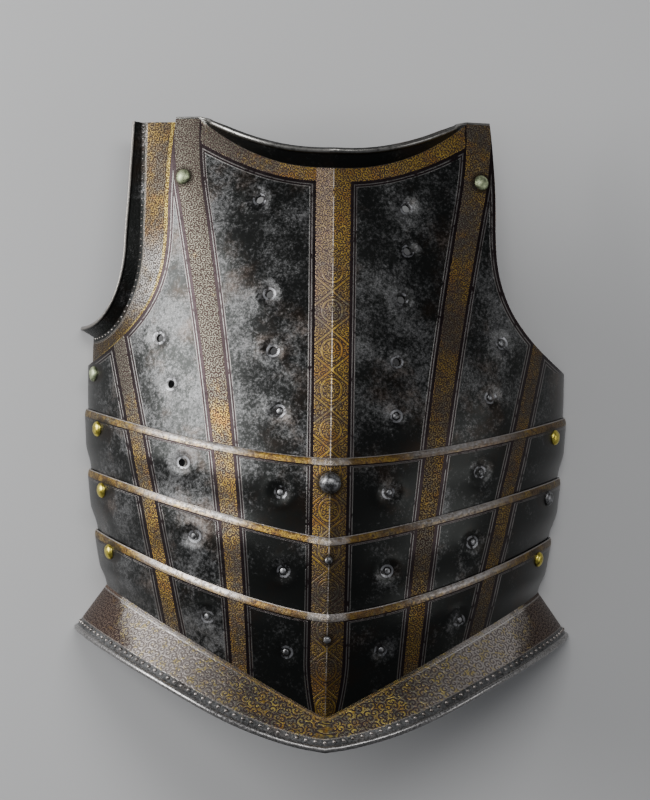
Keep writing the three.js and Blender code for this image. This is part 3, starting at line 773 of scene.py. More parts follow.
def etched_plate_finish(name, plain_edge=False):
    """Blackened panels between gilt bands. Two fine bright lines edge each band. The band
    along a lame's edge is plain, rubbed to bright steel on the flanks, and carries a
    painted highlight there and in a thin line along its top."""
    finish, tree, surface = new_finish(name)
    upright, lengthwise, near_holes = uv(tree, "bands"), uv(tree, "edges"), uv(tree, "wear")
    along_edge = lengthwise[0] < upright[0]
    if plain_edge:
        along_edge = larger(along_edge, lengthwise[0] < 0.2)
    x_mm, y_mm = place_mm(tree)
    arc = uv(tree, "arc")[0]
    outside = calc("MINIMUM", upright[0], lengthwise[0])
    across = blend(along_edge, upright[1], lengthwise[1])
    along = blend(along_edge, y_mm, arc)
    central = abs(x_mm) < 12.5
    upright_here = 1.0 - along_edge
    strapped = central * upright_here * ramp(y_mm, 112.0, 104.0)
    etched = place_group(tree, scrolls, Across=across, Along=along, Strapwork=strapped)
    on_side_band = upright_here * (1.0 - central)
    high_left = ramp(x_mm, -15.0, -60.0) * ramp(y_mm, -20.0, 45.0)
    worn = 0.44 + high_left * 0.35
    worn = worn + on_side_band * 0.12
    raised = etched["Raised"]
    polish_and_highlight = 0.0
    if plain_edge:
        specks = ramp(noise(tree, 420, 4.0, 0.7, 6.1), 0.34, 0.52)
        raised = blend(along_edge, raised, specks)
        # Painted highlight and wear: the edge band is lightened on both flanks, over the
        # ridge and in a thin line along its top edge, where the light catches the bevel.
        bright = larger(between(x_mm, -128.0, -58.0, 12.0),
                        between(x_mm, 62.0, 122.0, 22.0))
        bright = bright * (0.4 + ramp(lengthwise[1], 1.4, -0.2) * 0.6)
        bright = larger(bright, between(x_mm, -13.0, 13.0, 3.0) * 0.6)
        bright = bright * (0.35 + ramp(noise(tree, 260, 4.0, 0.7, 3.7), 0.3, 0.6) * 0.6)
        bright = larger(bright, line_mask(lengthwise[1], -2.3, 0.4) * 0.7)
        polish_and_highlight = bright * along_edge
    gilt = place_group(tree, gilding, Raised=raised, Wear=worn)
    low_right = ramp(x_mm, 0.0, 55.0) * ramp(y_mm, 25.0, -25.0)
    low_middle = ramp(x_mm, -70.0, -50.0) * ramp(y_mm, -10.0, -60.0)
    round_hole = (ramp(near_holes[0], 13.0, 6.0)
                  * ramp(noise(tree, 95, 3.0, 0.6, 2.7), 0.42, 0.6))
    rubbing = 0.56 - larger(low_right, low_middle) * 0.38
    rubbing = rubbing + round_hole * 0.42
    if plain_edge:
        flank = between(abs(x_mm), 62.0, 124.0, 8.0)
        low = flank * ramp(lengthwise[0], 34.0, 56.0)
        low = larger(low, between(x_mm, -160.0, -136.0, 6.0))
        low = low * ramp(noise(tree, 70, 3.0, 0.6, 8.8), 0.4, 0.58)
        rubbing = rubbing + low * 0.3
    panel = place_group(tree, rubbed, Rubbing=rubbing, Rust=0.5)
    in_band = ramp(outside, 0.15, -0.15)
    line = larger(line_mask(outside, 2.5, 0.35), line_mask(outside, 4.2, 0.3))
    in_border = ramp(outside, 4.1, 3.8)
    halo = (line_mask(near_holes[0], 3.9, 0.7)
            * ramp(noise(tree, 190, 3.0, 0.6, 4.9), 0.44, 0.56))
    smudge = (ramp(near_holes[0], 7.0, 3.4)
              * ramp(noise(tree, 120, 3.0, 0.6, 6.6), 0.4, 0.58))
    color = mixed(smudge * 0.8, panel["Color"], (0.013, 0.012, 0.012, 1))
    color = mixed(halo, color, (0.24, 0.24, 0.25, 1))
    color = mixed(in_border, color, (0.022, 0.015, 0.016, 1))
    broken = ramp(noise(tree, 160, 3.0, 0.6, 9.3), 0.32, 0.46)
    line = line * broken
    color = mixed(line * 0.7, color, (0.2, 0.19, 0.18, 1))
    # Painted shade: the bands on the upper right, and right of the ridge low down, are
    # darkened as if turned away from the light.
    painted_shade_right = larger(ramp(x_mm, 10.0, 60.0) * ramp(y_mm, 150.0, 60.0),
                  ramp(x_mm, -1.0, 1.0) * ramp(y_mm, 20.0, -30.0))
    band_color = mixed(painted_shade_right * 0.45, gilt["Color"], (0.03, 0.02, 0.014, 1))
    # Painted light: the left flank of the ridge is lightened, as if lit from the upper
    # left.
    painted_light_flank = between(x_mm, -12.0, -0.3, 0.3) * ramp(y_mm, 20.0, 130.0)
    painted_light_color = mixed(raised, (0.16, 0.12, 0.13, 1), (0.62, 0.52, 0.46, 1))
    band_color = mixed(painted_light_flank * 0.3, band_color, painted_light_color)
    # A thin pale line down the ridge: rubbed wear, and a painted highlight on the ridge.
    on_ridge = line_mask(x_mm, 0.0, 0.35) * ramp(noise(tree, 90, 4.0, 0.7, 1.4), 0.35, 0.6)
    band_color = mixed(on_ridge * 0.7, band_color, (0.55, 0.5, 0.46, 1))
    if plain_edge:
        stained = ramp(noise(tree, 130, 4.0, 0.7, 5.8), 0.4, 0.62) * along_edge
        band_color = mixed(stained * 0.75, band_color, (0.075, 0.042, 0.022, 1))
        # Lays the painted highlight and rubbed steel on the edge band.
        band_color = mixed(polish_and_highlight, band_color, (0.38, 0.36, 0.35, 1))
    color = mixed(in_band, color, band_color)
    if plain_edge:
        under_edge = line_mask(lengthwise[0], 0.6, 0.55)
        color = mixed(under_edge * 0.85, color, (0.022, 0.016, 0.014, 1))
    tarnish = ramp(near_holes[1], 3.2, 0.6)
    color = mixed(tarnish * 0.75, color, (0.016, 0.012, 0.009, 1))
    roughness = blend(in_band, panel["Roughness"], gilt["Roughness"])
    dress(surface, color, roughness, larger(raised * in_band, line), 0.18)
    return finish


def inside_steel_finish():
    finish, tree, surface = new_finish("inside_steel", 0.7)
    panel = place_group(tree, rubbed, Rubbing=0.4, Rust=0.9)
    dress(surface, panel["Color"], panel["Roughness"] + 0.2)
    return finish


plate_finish = etched_plate_finish("etched_chest_steel")
inside_finish = inside_steel_finish()


def turned_edge_finish():
    """Plain dark steel of a turned edge, rubbed bright and with a painted highlight along
    the roll.
    """
    finish, tree, surface = new_finish("turned_edge_steel")
    panel = place_group(tree, rubbed, Rubbing=0.15, Rust=0.6)
    from_end = uv(tree, "edges")[1]
    # Rubbed steel and a painted highlight along the roll.
    rim = ramp(from_end, 3.4, 1.4) * ramp(noise(tree, 240, 4.0, 0.7, 2.2), 0.15, 0.65)
    color = mixed(rim * 0.8, panel["Color"], (0.34, 0.33, 0.31, 1))
    dress(surface, color, panel["Roughness"])
    return finish


turned_finish = turned_edge_finish()
main_steel = main_plate()
drill(main_steel, hole_list(0))
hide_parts("main_plate")
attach(main_steel, "chest")


# --- Waist lames ------------------------------------------------------------
# Two narrow plates that lap upwards over the one above, each with a bevelled gilt
# upper edge. Loose rivets at the sides let them slide a little over one another.
LAME_BAND = 5.0
BEVEL_DROP, BEVEL_POWER, BEVEL_ROWS = 1.4, 2.4, 8
NARROW_BORDER = 2.2

lame_finish = etched_plate_finish("etched_lame_steel", plain_edge=True)


def lame_grids(plate, lower_edge, rows=42):
    top = edge_y(EDGES[plate - 1], columns)
    slope = np.gradient(top) / np.gradient(body_point(columns, top)[:, 0])
    band = LAME_BAND * np.sqrt(1 + slope ** 2)
    s = np.linspace(0, 1, rows)[None]
    rise = np.linspace(0, 1, BEVEL_ROWS + 1)[None, 1:]
    y = lower_edge[:, None] + (top - band - lower_edge)[:, None] * s
    y = joined(y, (top - band)[:, None] + band[:, None] * rise)
    girth = np.repeat(columns[:, None], y.shape[1], 1)
    depth = outer_depth(plate, girth, y)
    bevel = np.zeros(y.shape)
    bevel[:, -BEVEL_ROWS:] = BEVEL_DROP * rise ** BEVEL_POWER
    outer = on_plate(plate, girth, y, depth - bevel)
    inner = on_plate(plate, girth, y, depth - WALL)
    return y, girth, outer, inner


def lame_maps(plate, y, outer):
    x = outer[..., 0]
    slope = np.gradient(edge_y(EDGES[plate - 1], columns)) / np.gradient(x[:, -1])
    below_edge = (edge_y(EDGES[plate - 1], columns)[:, None] - y) / np.sqrt(
        1 + slope ** 2)[:, None]
    across = below_edge - LAME_BAND / 2
    girth = np.repeat(columns[:, None], y.shape[1], 1)
    outside, band_across = stripe_fields(x, y, steepness(girth, y))
    wear = (hole_distance(plate, x, y), rivet_distance(plate, x, y))
    edge_outside = np.abs(across) - LAME_BAND / 2
    edge_outside = np.where(edge_outside > 0, edge_outside * NARROW_BORDER, edge_outside)
    return outside, band_across, edge_outside, across, wear


def lame(plate):
    lower = edge_y(EDGES[plate], columns) - lap_depth(columns)
    y, girth, outer, inner = lame_grids(plate, lower)
    outside, band_across, edge_outside, across, wear = lame_maps(plate, y, outer)
    maps = {"bands": (outside, band_across), "edges": (edge_outside, across), "wear": wear,
            "arc": (arc_across(outer), y)}
    piece = closed_wall(f"waist_lame_{plate}_steel", outer, inner, maps,
                        [lame_finish, inside_finish])
    drill(piece, hole_list(plate))
    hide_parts(f"waist_lame_{plate}")
    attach(piece, f"lame_{plate}")


lame(1)
lame(2)


# --- Waist plate ------------------------------------------------------------
# The lowest plate, turned out in a wide flange for the tassets and rolled at its end.
# The flange is etched over its whole width, with a row of raised dots near the edge.
FLANGE_WIDTH, FLANGE_CUT, FLANGE_CUT_SHARE = 37, 12, 0.45
FLANGE_RIDGE_ANGLE, FLANGE_SIDE_ANGLE = 57, 47


def flange_finish_of(name):
    finish, tree, surface = new_finish(name)
    from_crease, from_end = uv(tree, "edges")[0], uv(tree, "edges")[1]
    x_mm, _ = place_mm(tree)
    arc = uv(tree, "arc")
    etched = place_group(tree, scrolls, Across=arc[1], Along=arc[0], Curl_Size=5.0)
    from_ridge = abs(x_mm) + (noise(tree, 45, 4.0, 0.6, 1.2) - 0.5) * 30.0
    near_ridge = ramp(from_ridge, 115.0, 20.0)
    worn = 0.85 - near_ridge * 0.2
    gilt = place_group(tree, gilding, Raised=etched["Raised"], Wear=worn,
                       Ground_Warmth=0.3, Patch_Scale=150)
    rust = ramp(from_ridge, 132.0, 152.0)
    rust_color = mixed(etched["Raised"], (0.03, 0.016, 0.012, 1), (0.11, 0.064, 0.048, 1))
    color = mixed(rust * 0.7, gilt["Color"], rust_color)
    # Painted sheen: the flanks of the flange are lightened where the light from the left
    # catches them.
    painted_sheen = ramp(from_ridge, 45.0, 118.0) * ramp(from_ridge, 146.0, 130.0)
    painted_sheen_color = mixed(etched["Raised"], (0.24, 0.21, 0.195, 1), (0.62, 0.56, 0.53, 1))
    color = mixed(painted_sheen * 0.7, color, painted_sheen_color)
    flecks = ramp(noise(tree, 190, 4.0, 0.7, 4.4), 0.52, 0.6) * etched["Raised"]
    color = mixed((flecks - rust) * 0.7, color, (0.52, 0.4, 0.09, 1))
    # A strip along the crease: gilt near the middle, and towards the sides a pale painted
    # highlight.
    by_crease = (ramp(from_crease, 3.2, 2.2)
                 * ramp(noise(tree, 150, 4.0, 0.7, 3.3), 0.3, 0.55))
    at_middle = ramp(from_ridge, 100.0, 55.0)
    color = mixed(by_crease * 0.5, color, mixed(at_middle, (0.48, 0.46, 0.44, 1),
                                                (0.45, 0.3, 0.1, 1)))
    # Painted highlight: a pale line along the crease, only where the painted sheen is.
    crease_highlight = line_mask(from_crease, 3.6, 0.4) * painted_sheen
    color = mixed(crease_highlight * 0.8, color, (0.72, 0.69, 0.67, 1))
    plain = ramp(from_end, 9.7, 9.3)
    worn_edge = place_group(tree, rubbed, Rubbing=1.0, Rust=0.4)
    color = mixed(plain, color, worn_edge["Color"])
    rim = ramp(from_end, 4.4, 3.8)
    grain = noise(tree, 500, 4.0, 0.7, 2.2)
    color = mixed(rim, color, mixed(ramp(grain, 0.35, 0.65), (0.17, 0.165, 0.16, 1),
                                    (0.33, 0.32, 0.315, 1)))
    line = line_mask(from_end, 10.0, 0.3)
    color = mixed(line * 0.6, color, (0.3, 0.27, 0.25, 1))
    dress(surface, color, gilt["Roughness"] - rim * 0.15,
          etched["Raised"] * (1.0 - plain), 0.15)
    return finish


def waist_plate():
    crease_y = edge_y(EDGES[3], columns)
    y, girth, outer, inner = lame_grids(3, crease_y, rows=40)
    outside, band_across, edge_outside, across, wear = lame_maps(3, y, outer)
    share = share_at(columns)
    out = unit(body_normal(columns, crease_y))
    crease = outer[:, 0]
    edge = unit(np.gradient(crease, axis=0))
    away = -unit(np.cross(out, edge))
    width = FLANGE_WIDTH - FLANGE_CUT * np.maximum(0, 1 - share / FLANGE_CUT_SHARE) ** 2
    angle = (FLANGE_RIDGE_ANGLE + (FLANGE_SIDE_ANGLE - FLANGE_RIDGE_ANGLE) * share)[:, None]
    roll = np.full(columns.shape, ROLL_RADIUS)
    f_outer, f_inner, reach = turned_edge(crease, out, away, width, angle, roll, rows=20)
    for grid in (f_outer, f_inner):
        grid[[0, -1], :, 2] = 0
    f_outer, f_inner, reach = f_outer[:, ::-1], f_inner[:, ::-1], reach[:, ::-1]
    from_end = width[:, None] + roll[:, None] - reach
    count = reach.shape[1]
    far, along = np.full(reach.shape, FAR), arc_across(outer)
    maps = {"bands": (joined(far, outside), joined(far, band_across)),
            "edges": (joined(reach, edge_outside), joined(from_end, across)),
            "wear": (joined(far, wear[0]), joined(far, wear[1])),
            "arc": (joined(np.repeat(along[:, :1], count, 1), along), joined(reach, y))}
    rows = joined(f_outer, outer).shape[1] - 1
    finish_of_row = np.where(np.arange(rows) < count, 1, 0)
    piece = closed_wall("waist_plate_steel", joined(f_outer, outer), joined(f_inner, inner),
                        maps, [lame_finish, flange_finish, inside_finish], finish_of_row)
    drill(piece, hole_list(3))
    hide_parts("waist_plate")
    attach(piece, "waist")
    return f_outer, from_end


flange_finish = flange_finish_of("etched_flange_steel")
flange_face, flange_from_end = waist_plate()


# --- Raised dots along the flange -------------------------------------------
# A row of small domes punched up from behind, just inside the flange's plain rim.
DOT_FROM_END = 7.2
DOT_SPACING, DOT_RADIUS, DOT_SINK = 6.5, 1.45, 0.25


def tree_with_inputs(name, inputs):
    """A geometry node tree with named inputs; gives it, its source and its sink."""
    tree = bpy.data.node_groups.new(name, "GeometryNodeTree")
    tree.interface.new_socket("Geometry", in_out="INPUT", socket_type="NodeSocketGeometry")
    for label, kind, value in inputs:
        socket = tree.interface.new_socket(label, in_out="INPUT", socket_type=kind)
        if value is not None:
            socket.default_value = value
    tree.interface.new_socket("Geometry", in_out="OUTPUT", socket_type="NodeSocketGeometry")
    return tree, add(tree, "NodeGroupInput"), tree.nodes.new("NodeGroupOutput").inputs


def grown(name, base, tree, **values):
    """A plain mesh object made by a geometry node tree from a base object, which goes."""
    modifier = base.modifiers.new(name, "NODES")
    modifier.node_group = tree
    for item in tree.interface.items_tree:
        key = item.name.replace(" ", "_")
        if item.item_type == "SOCKET" and item.in_out == "INPUT" and key in values:
            modifier[item.identifier] = values[key]
    mesh = plain_mesh(base)
    mesh.name = name
    bpy.data.objects.remove(base)
    if mesh.materials[0] is None:
        mesh.materials.pop(index=0)
    crisp(mesh)
    piece = new_object(name, mesh)
    return piece


def path_object(name, points_mm):
    mesh = bpy.data.meshes.new(name)
    count = len(points_mm)
    mesh.from_pydata((np.asarray(points_mm) * MM).tolist(),
                     [(k, k + 1) for k in range(count - 1)], [])
    path = new_object(name, mesh)
    return path


def set_on_points(tree, points, instance, finish, out, **rotation):
    """Ends a tree: a shape on every point, made real, in its finish."""
    placed = add(tree, "GeometryNodeInstanceOnPoints",
                 named=dict(Points=points, Instance=instance, **rotation))[0]
    real = add(tree, "GeometryNodeRealizeInstances", named={"Geometry": placed})[0]
    painted = add(tree, "GeometryNodeSetMaterial",
                  named={"Geometry": real, "Material": finish})[0]
    feed(out["Geometry"], painted)


dot_row, given, out = tree_with_inputs("dot_row", [
    ("Spacing", "NodeSocketFloat", 0.0065), ("Dot Radius", "NodeSocketFloat", 0.0014),
    ("Finish", "NodeSocketMaterial", None)])
line = add(dot_row, "GeometryNodeMeshToCurve", named={"Mesh": given["Geometry"]})[0]
spaced = add(dot_row, "GeometryNodeResampleCurve", mode="LENGTH",
             named={"Curve": line, "Length": given["Spacing"]})[0]
dot = add(dot_row, "GeometryNodeMeshIcoSphere",
          named={"Subdivisions": 2, "Radius": given["Dot Radius"]})["Mesh"]
set_on_points(dot_row, spaced, dot, given["Finish"], out)


def dot_steel_finish():
    finish, tree, surface = new_finish("dot_steel")
    panel = place_group(tree, rubbed, Rubbing=0.75, Rust=0.9)
    color = mixed(panel["Bare"], (0.1, 0.085, 0.075, 1), (0.45, 0.42, 0.4, 1))
    dress(surface, color, panel["Roughness"])
    return finish


dot_finish = dot_steel_finish()


def row_on(grid, from_end, distance):
    """Points of a flange at a given distance from its end, one for each column."""
    order = np.argsort(from_end[0])
    return np.array([[np.interp(distance, ends[order], points[order, axis])
                      for axis in range(3)] for points, ends in zip(grid, from_end)])


flat_part = slice(9, None)
dot_path = row_on(flange_face[:, flat_part], flange_from_end[:, flat_part], DOT_FROM_END)
beyond = row_on(flange_face[:, flat_part], flange_from_end[:, flat_part], DOT_FROM_END + 4)
along_path = np.gradient(dot_path, axis=0)
sink_in = unit(np.cross(along_path, beyond - dot_path))
dot_path = (dot_path - sink_in * DOT_SINK)[2:-2]
flange_dots = grown("flange_dots", path_object("flange_dot_path", dot_path), dot_row,
                    Spacing=DOT_SPACING * MM, Dot_Radius=DOT_RADIUS * MM,
                    Finish=dot_finish)
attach(flange_dots, "waist")


# --- Arm gusset -------------------------------------------------------------
# A narrow plate under the arm edge of the chest, held by two rivets, with a turned
# flange round the armhole. Its showing face is etched and gilt from edge to edge.
GUSSET_GAP = 1.4
GUSSET_TOP, GUSSET_STRAIGHT = 215, 0.4
GUSSET_HIDDEN = dict(x=100, bend_y=112, end_y=26, squareness=4 / 3)
GUSSET_CREASE = dict(x=137, bend_y=130, end_y=62, squareness=1)
GUSSET_FLANGE_TOP, GUSSET_FLANGE, GUSSET_FLANGE_ANGLE, GUSSET_ROLL = 5.5, 10, 60, 1.4
GUSSET_DOT_SPACING, GUSSET_DOT_RADIUS = 4.8, 0.95


def gusset_line(line, along):
    down = np.minimum(along / GUSSET_STRAIGHT, 1)
    bend = np.clip((along - GUSSET_STRAIGHT) / (1 - GUSSET_STRAIGHT), 0, 1) * math.pi / 2
    end_x = float(half_width(np.float64(line["end_y"])))
    x = end_x - (end_x - line["x"]) * np.abs(np.cos(bend)) ** line["squareness"]
    drop = (line["bend_y"] - line["end_y"]) * np.sin(bend) ** line["squareness"]
    y = line["bend_y"] - drop
    straight = along <= GUSSET_STRAIGHT
    x = np.where(straight, line["x"], x)
    y = np.where(straight, GUSSET_TOP + (line["bend_y"] - GUSSET_TOP) * down, y)
    return x, y


def gusset_finish():
    """Gilt scrolls, with a bright strip beside the chest plate's edge."""
    finish, tree, surface = new_finish("etched_gusset_steel")
    from_plate = uv(tree, "bands")[0]
    from_crease = uv(tree, "bands")[1]
    from_end = uv(tree, "edges")[1]
    along = uv(tree, "arc")[0]
    etched = place_group(tree, scrolls, Across=from_crease, Along=along, Curl_Size=3.8)
    gilt = place_group(tree, gilding, Raised=etched["Raised"], Wear=0.58,
                       Ground_Warmth=0.8, Patch_Scale=70)
    panel = place_group(tree, rubbed, Rubbing=0.3, Rust=0.7)
    strip = ramp(from_plate, 4.6, 3.8)
    color = mixed(0.7, gilt["Color"], (0.02, 0.014, 0.01, 1))
    _, y_mm = place_mm(tree)
    # Painted sheen: a pale band low on the gusset, where the light from the left catches
    # it.
    painted_sheen = (between(y_mm, 80.0, 125.0, 18.0)
             * ramp(noise(tree, 60, 4.0, 0.7, 3.0), 0.32, 0.55))
    color = mixed(painted_sheen * 0.6, color, mixed(etched["Raised"], (0.09, 0.09, 0.09, 1),
                                            (0.3, 0.29, 0.28, 1)))
    color = mixed(strip * (ramp(noise(tree, 70, 4.0, 0.7, 7.3), 0.3, 0.5) * 0.7), color,
                  mixed(etched["Raised"], (0.13, 0.08, 0.02, 1), (0.34, 0.26, 0.06, 1)))
    plain = ramp(from_crease, 4.9, 4.5)
    color = mixed(plain, color, panel["Color"])
    line = larger(line_mask(from_crease, 4.9, 0.25), line_mask(from_crease, 3.9, 0.2))
    color = mixed(line * 0.6, color, (0.24, 0.21, 0.18, 1))
    on_flange = ramp(from_crease, 0.3, -0.3)
    color = mixed(on_flange, color, panel["Color"])
    rim = ramp(from_end, 1.8, 0.5) * 0.8
    color = mixed(rim, color, (0.3, 0.28, 0.26, 1))
    dress(surface, color, gilt["Roughness"], etched["Raised"], 0.12)
    return finish


def gusset(steps=90, across=24):
    s = np.linspace(1, 0, steps + 1)
    hidden, crease = gusset_line(GUSSET_HIDDEN, s), gusset_line(GUSSET_CREASE, s)
    f = np.linspace(0, 1, across)[None]
    x = hidden[0][:, None] + (crease[0] - hidden[0])[:, None] * f
    y = hidden[1][:, None] + (crease[1] - hidden[1])[:, None] * f
    girth = -girth_at(x / half_width(y))
    girth[0] = -1
    depth = np.full(x.shape, -WALL - GUSSET_GAP)
    outer = on_plate(-1, girth, y, depth)
    inner = on_plate(-1, girth, y, depth - WALL)
    out = unit(body_normal(girth[:, -1], y[:, -1]))
    edge = unit(np.gradient(outer[:, -1], axis=0))
    away = unit(np.cross(out, edge))
    away[0, 2] = 0
    away = unit(away)
    width = GUSSET_FLANGE_TOP + (GUSSET_FLANGE - GUSSET_FLANGE_TOP) * np.minimum(
        s / GUSSET_STRAIGHT, 1)
    roll = np.full(s.shape, GUSSET_ROLL)
    angle = np.full((len(s), 1), float(GUSSET_FLANGE_ANGLE))
    f_outer, f_inner, reach = turned_edge(outer[:, -1], out, away, width, angle, roll)
    for grid in (f_outer, f_inner):
        grid[0, :, 2] = 0
    from_crease = np.linalg.norm(outer - outer[:, -1:], axis=-1)
    beyond_plate = np.abs(x) - arm_x(y)
    along_plate = arc_across(outer)
    end = width[:, None] + roll[:, None] - reach
    far = np.full(reach.shape, FAR)
    maps = {"bands": (joined(beyond_plate, far), joined(from_crease, -reach)),
            "edges": (joined(from_crease, -reach),
                      joined(from_crease + 40, end)),
            "arc": (joined(along_plate, np.repeat(along_plate[:, -1:], reach.shape[1], 1)),
                    joined(from_crease, -reach))}
    piece = closed_wall("arm_gusset_steel", joined(outer, f_outer), joined(inner, f_inner),
                        maps, [gusset_finish(), inside_finish])
    through = [(*place_on(0, rivet["x"], rivet["y"]), rivet["hole"])
               for rivet in RIVETS if rivet["plates"] == [0] and rivet["x"] < 0]
    drill(piece, through)
    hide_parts("arm_gusset")
    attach(piece, "chest")
    k = across - 2
    inward = unit(outer[:, k - 1] - outer[:, -1])
    return outer[:, -1] + inward * 1.6 - out * 0.25


gusset_dot_path = gusset()
gusset_dots = grown("gusset_dots", path_object("gusset_dot_path", gusset_dot_path[2:-1]),
                    dot_row, Spacing=GUSSET_DOT_SPACING * MM,
                    Dot_Radius=GUSSET_DOT_RADIUS * MM, Finish=dot_finish)
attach(gusset_dots, "chest")


# --- Rivets -----------------------------------------------------------------
# Domed rivets with flat tails. The large ones are brass, except the pale ones at the
# shoulders and the arm; a grey steel one replaces a lost one on the right.
BRASS_HEAD = dict(Head_Radius=0.0055, Head_Height=0.0032, Shank_Radius=0.0020,
                  Tail_Radius=0.0040, Tail_Height=0.0012)
TAIL_GAP = 0.8

rivet_set, given, out = tree_with_inputs("rivet_set", [
    ("Head Radius", "NodeSocketFloat", 0.0055), ("Head Height", "NodeSocketFloat", 0.0032),
    ("Shank Radius", "NodeSocketFloat", 0.002), ("Shank Length", "NodeSocketFloat", 0.005),
    ("Tail Radius", "NodeSocketFloat", 0.004), ("Tail Height", "NodeSocketFloat", 0.0012),
    ("Finish", "NodeSocketMaterial", None)])


ball = add(rivet_set, "GeometryNodeMeshUVSphere",
           named={"Segments": 28, "Rings": 18, "Radius": 1.0})[0]
place = add(rivet_set, "GeometryNodeInputPosition")[0]
axes = add(rivet_set, "ShaderNodeSeparateXYZ", place)
dome_at = add(rivet_set, "ShaderNodeCombineXYZ", axes["X"] * given["Head Radius"],
              axes["Y"] * given["Head Radius"],
              larger(axes["Z"], -0.12) * given["Head Height"])[0]
dome = add(rivet_set, "GeometryNodeSetPosition",
           named={"Geometry": ball, "Position": dome_at})[0]


def lowered(sides, radius, depth, height):
    """An upright cylinder, moved to a height."""
    cylinder = add(rivet_set, "GeometryNodeMeshCylinder", named={
        "Vertices": sides, "Radius": radius, "Depth": depth})["Mesh"]
    move = add(rivet_set, "ShaderNodeCombineXYZ", named={"Z": height})[0]
    return add(rivet_set, "GeometryNodeTransform",
               named={"Geometry": cylinder, "Translation": move})[0]


shank_length, tail_height = given["Shank Length"], given["Tail Height"]
shank = lowered(14, given["Shank Radius"], shank_length, shank_length * -0.5)
tail = lowered(20, given["Tail Radius"], tail_height,
               shank_length * -1.0 - tail_height * 0.5)
whole = rivet_set.nodes.new("GeometryNodeJoinGeometry")
for part in (dome, shank, tail):
    feed(whole.inputs[0], part)
facing = add(rivet_set, "GeometryNodeInputNamedAttribute", named={"Name": "facing"},
             data_type="FLOAT_VECTOR")[0]
turned = add(rivet_set, "FunctionNodeAlignRotationToVector", named={"Vector": facing},
             axis="Z")[0]
set_on_points(rivet_set, given["Geometry"], Wire(whole.outputs[0]), given["Finish"], out,
              Rotation=turned)


def rivets_at(name, places, body, nodes, slot, **sizes):
    """Rivets at (point, normal) places, joined in one piece that stands for CAD nodes."""
    mesh = bpy.data.meshes.new(name)
    mesh.from_pydata([tuple(point * MM) for point, _ in places], [], [])
    attribute = mesh.attributes.new("facing", "FLOAT_VECTOR", "POINT")
    attribute.data.foreach_set("vector", np.concatenate([n for _, n in places]))
    base = new_object(name, mesh)
    piece = grown(name, base, rivet_set, **sizes)
    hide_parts(*nodes)
    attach(piece, body)
    return piece


def rivet_metal(name, dark, light, roughness, dirt=(0.02, 0.014, 0.008, 1)):
    """Rubbed rivet metal, dirty in patches."""
    finish, tree, surface = new_finish(name, 1.0)
    grain = noise(tree, 420, 4.0, 0.65, 4.4)
    color = mixed(ramp(grain, 0.35, 0.65), dark, light)
    color = mixed(ramp(noise(tree, 300, 4.0, 0.7, 8.8), 0.55, 0.7) * 0.8, color, dirt)
    dress(surface, color, grain * 0.2 + roughness, grain, 0.25)
    return finish


brass = rivet_metal("rubbed_brass", (0.42, 0.33, 0.05, 1), (0.76, 0.66, 0.13, 1), 0.22)
pale_brass = rivet_metal("tarnished_brass", (0.24, 0.28, 0.17, 1), (0.48, 0.53, 0.33, 1),
                         0.38)
grey_steel = rivet_metal("scratched_steel", (0.07, 0.07, 0.07, 1), (0.32, 0.32, 0.33, 1),
                         0.32)


def grip(layers, gap=LAP_GAP, tail=TAIL_GAP):
    return (WALL * layers + gap * (layers - 1) + tail) * MM


through_gusset = grip(2, GUSSET_GAP)
for head, node, place, length in [
        ("shoulder_rivet_head_left", "shoulder_rivet_left",
         (-SHOULDER_RIVET[0], SHOULDER_RIVET[1]), through_gusset),
        ("shoulder_rivet_head_right", "shoulder_rivet_right", SHOULDER_RIVET, grip(1)),
        ("gusset_rivet_head", "gusset_rivet", GUSSET_RIVET, through_gusset)]:
    rivets_at(head, [place_on(0, *place)], "chest", [node], "pale_brass", **BRASS_HEAD,
              Shank_Length=length, Finish=pale_brass)
BODIES = ["chest", "lame_1", "lame_2", "waist"]
for k, (x, y) in enumerate(SIDE_RIVETS, start=1):
    for side, word in ((-1, "left"), (1, "right")):
        steel = word == "right" and k == 2
        rivets_at(f"side_rivet_head_{word}_{k}", [place_on(k, side * x, y)], BODIES[k],
                  [f"side_rivet_{word}_{k}"], "grey_steel" if steel else "brass",
                  **BRASS_HEAD, Shank_Length=grip(2),
                  Finish=grey_steel if steel else brass)


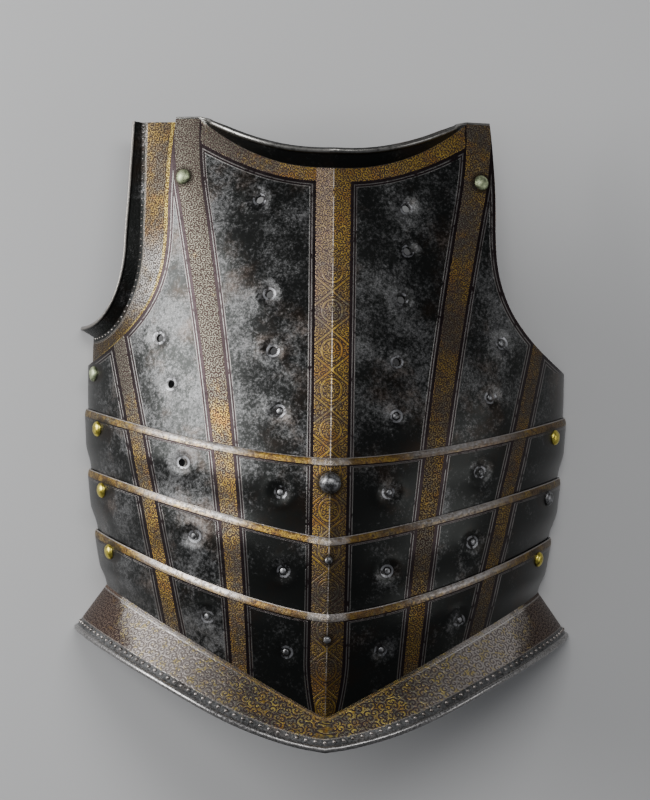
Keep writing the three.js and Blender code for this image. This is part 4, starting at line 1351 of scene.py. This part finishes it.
# --- Small steel rivets and the shanks of the lost lining -------------------
# Two small rivets sit on the ridge of the lower plates. The shanks of the rivets that
# held a fabric lining are still in their holes, filed off nearly flush.
LINING_HEAD = dict(Head_Radius=0.0022, Head_Height=0.0007, Shank_Radius=0.0019,
                   Tail_Radius=0.0032, Tail_Height=0.0009)
for number, (plate, y) in enumerate(RIDGE_RIVET_Y.items(), start=1):
    rivets_at(f"ridge_rivet_head_{number}", [place_on(plate, 0, y)], BODIES[plate],
              [f"ridge_rivet_{number}"], "grey_steel", Head_Radius=0.0026,
              Head_Height=0.0016, Shank_Radius=0.0014, Tail_Radius=0.0014,
              Tail_Height=0.0001, Shank_Length=0.0016, Finish=grey_steel)
filled = [hole for hole in LINING_HOLES if hole["filled"]]
for plate, body in enumerate(BODIES):
    own = [k for k, hole in enumerate(filled) if hole["plate"] == plate]
    places = []
    for k in own:
        point, normal = place_on(plate, filled[k]["x"], filled[k]["y"])
        places.append((point - normal * DISH_DEPTH * 0.85, normal))
    rivets_at(f"lining_shanks_{body}", places, body,
              [f"lining_rivet_{k + 1}" for k in own], "grey_steel", **LINING_HEAD,
              Shank_Length=grip(1), Finish=grey_steel)


# --- Center stud ------------------------------------------------------------
# A stout blunt cone of steel on the ridge of the upper lame, riveted from behind,
# which kept the edge of the plate above from riding over it.
STUD_PROFILE = [(0, 7.0), (1.4, 6.9), (2.8, 6.5), (4.0, 5.8), (5.2, 4.6), (6.2, 3.2),
                (7.0, 1.6), (7.4, 0.7), (7.4, 0.2), (7.1, -0.5), (2.2, -0.5),
                (2.2, -1.9), (0, -1.9)]


def turned_on_lathe(name, profile, place, normal, finish, sides=48):
    points, faces, rings = [], [], []
    for radius, height in profile:
        first = len(points)
        around = circle_points(place, normal, radius, height, sides)
        points += around if radius > 0 else around[:1]
        rings.append(range(first, len(points)))
    for upper, lower in zip(rings[:-1], rings[1:]):
        for k in range(sides):
            m = (k + 1) % sides
            if len(upper) == 1:
                faces.append((upper[0], lower[k], lower[m]))
            elif len(lower) == 1:
                faces.append((upper[k], lower[0], upper[m]))
            else:
                faces.append((upper[k], lower[k], lower[m], upper[m]))
    mesh = bpy.data.meshes.new(name)
    mesh.from_pydata(points, [], faces)
    mesh.materials.append(finish)
    crisp(mesh)
    piece = new_object(name, mesh)
    return piece


stud = turned_on_lathe("center_stud_steel", STUD_PROFILE, *place_on(1, 0, STUD_Y),
                       grey_steel)
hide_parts("center_stud")
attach(stud, "lame_1")
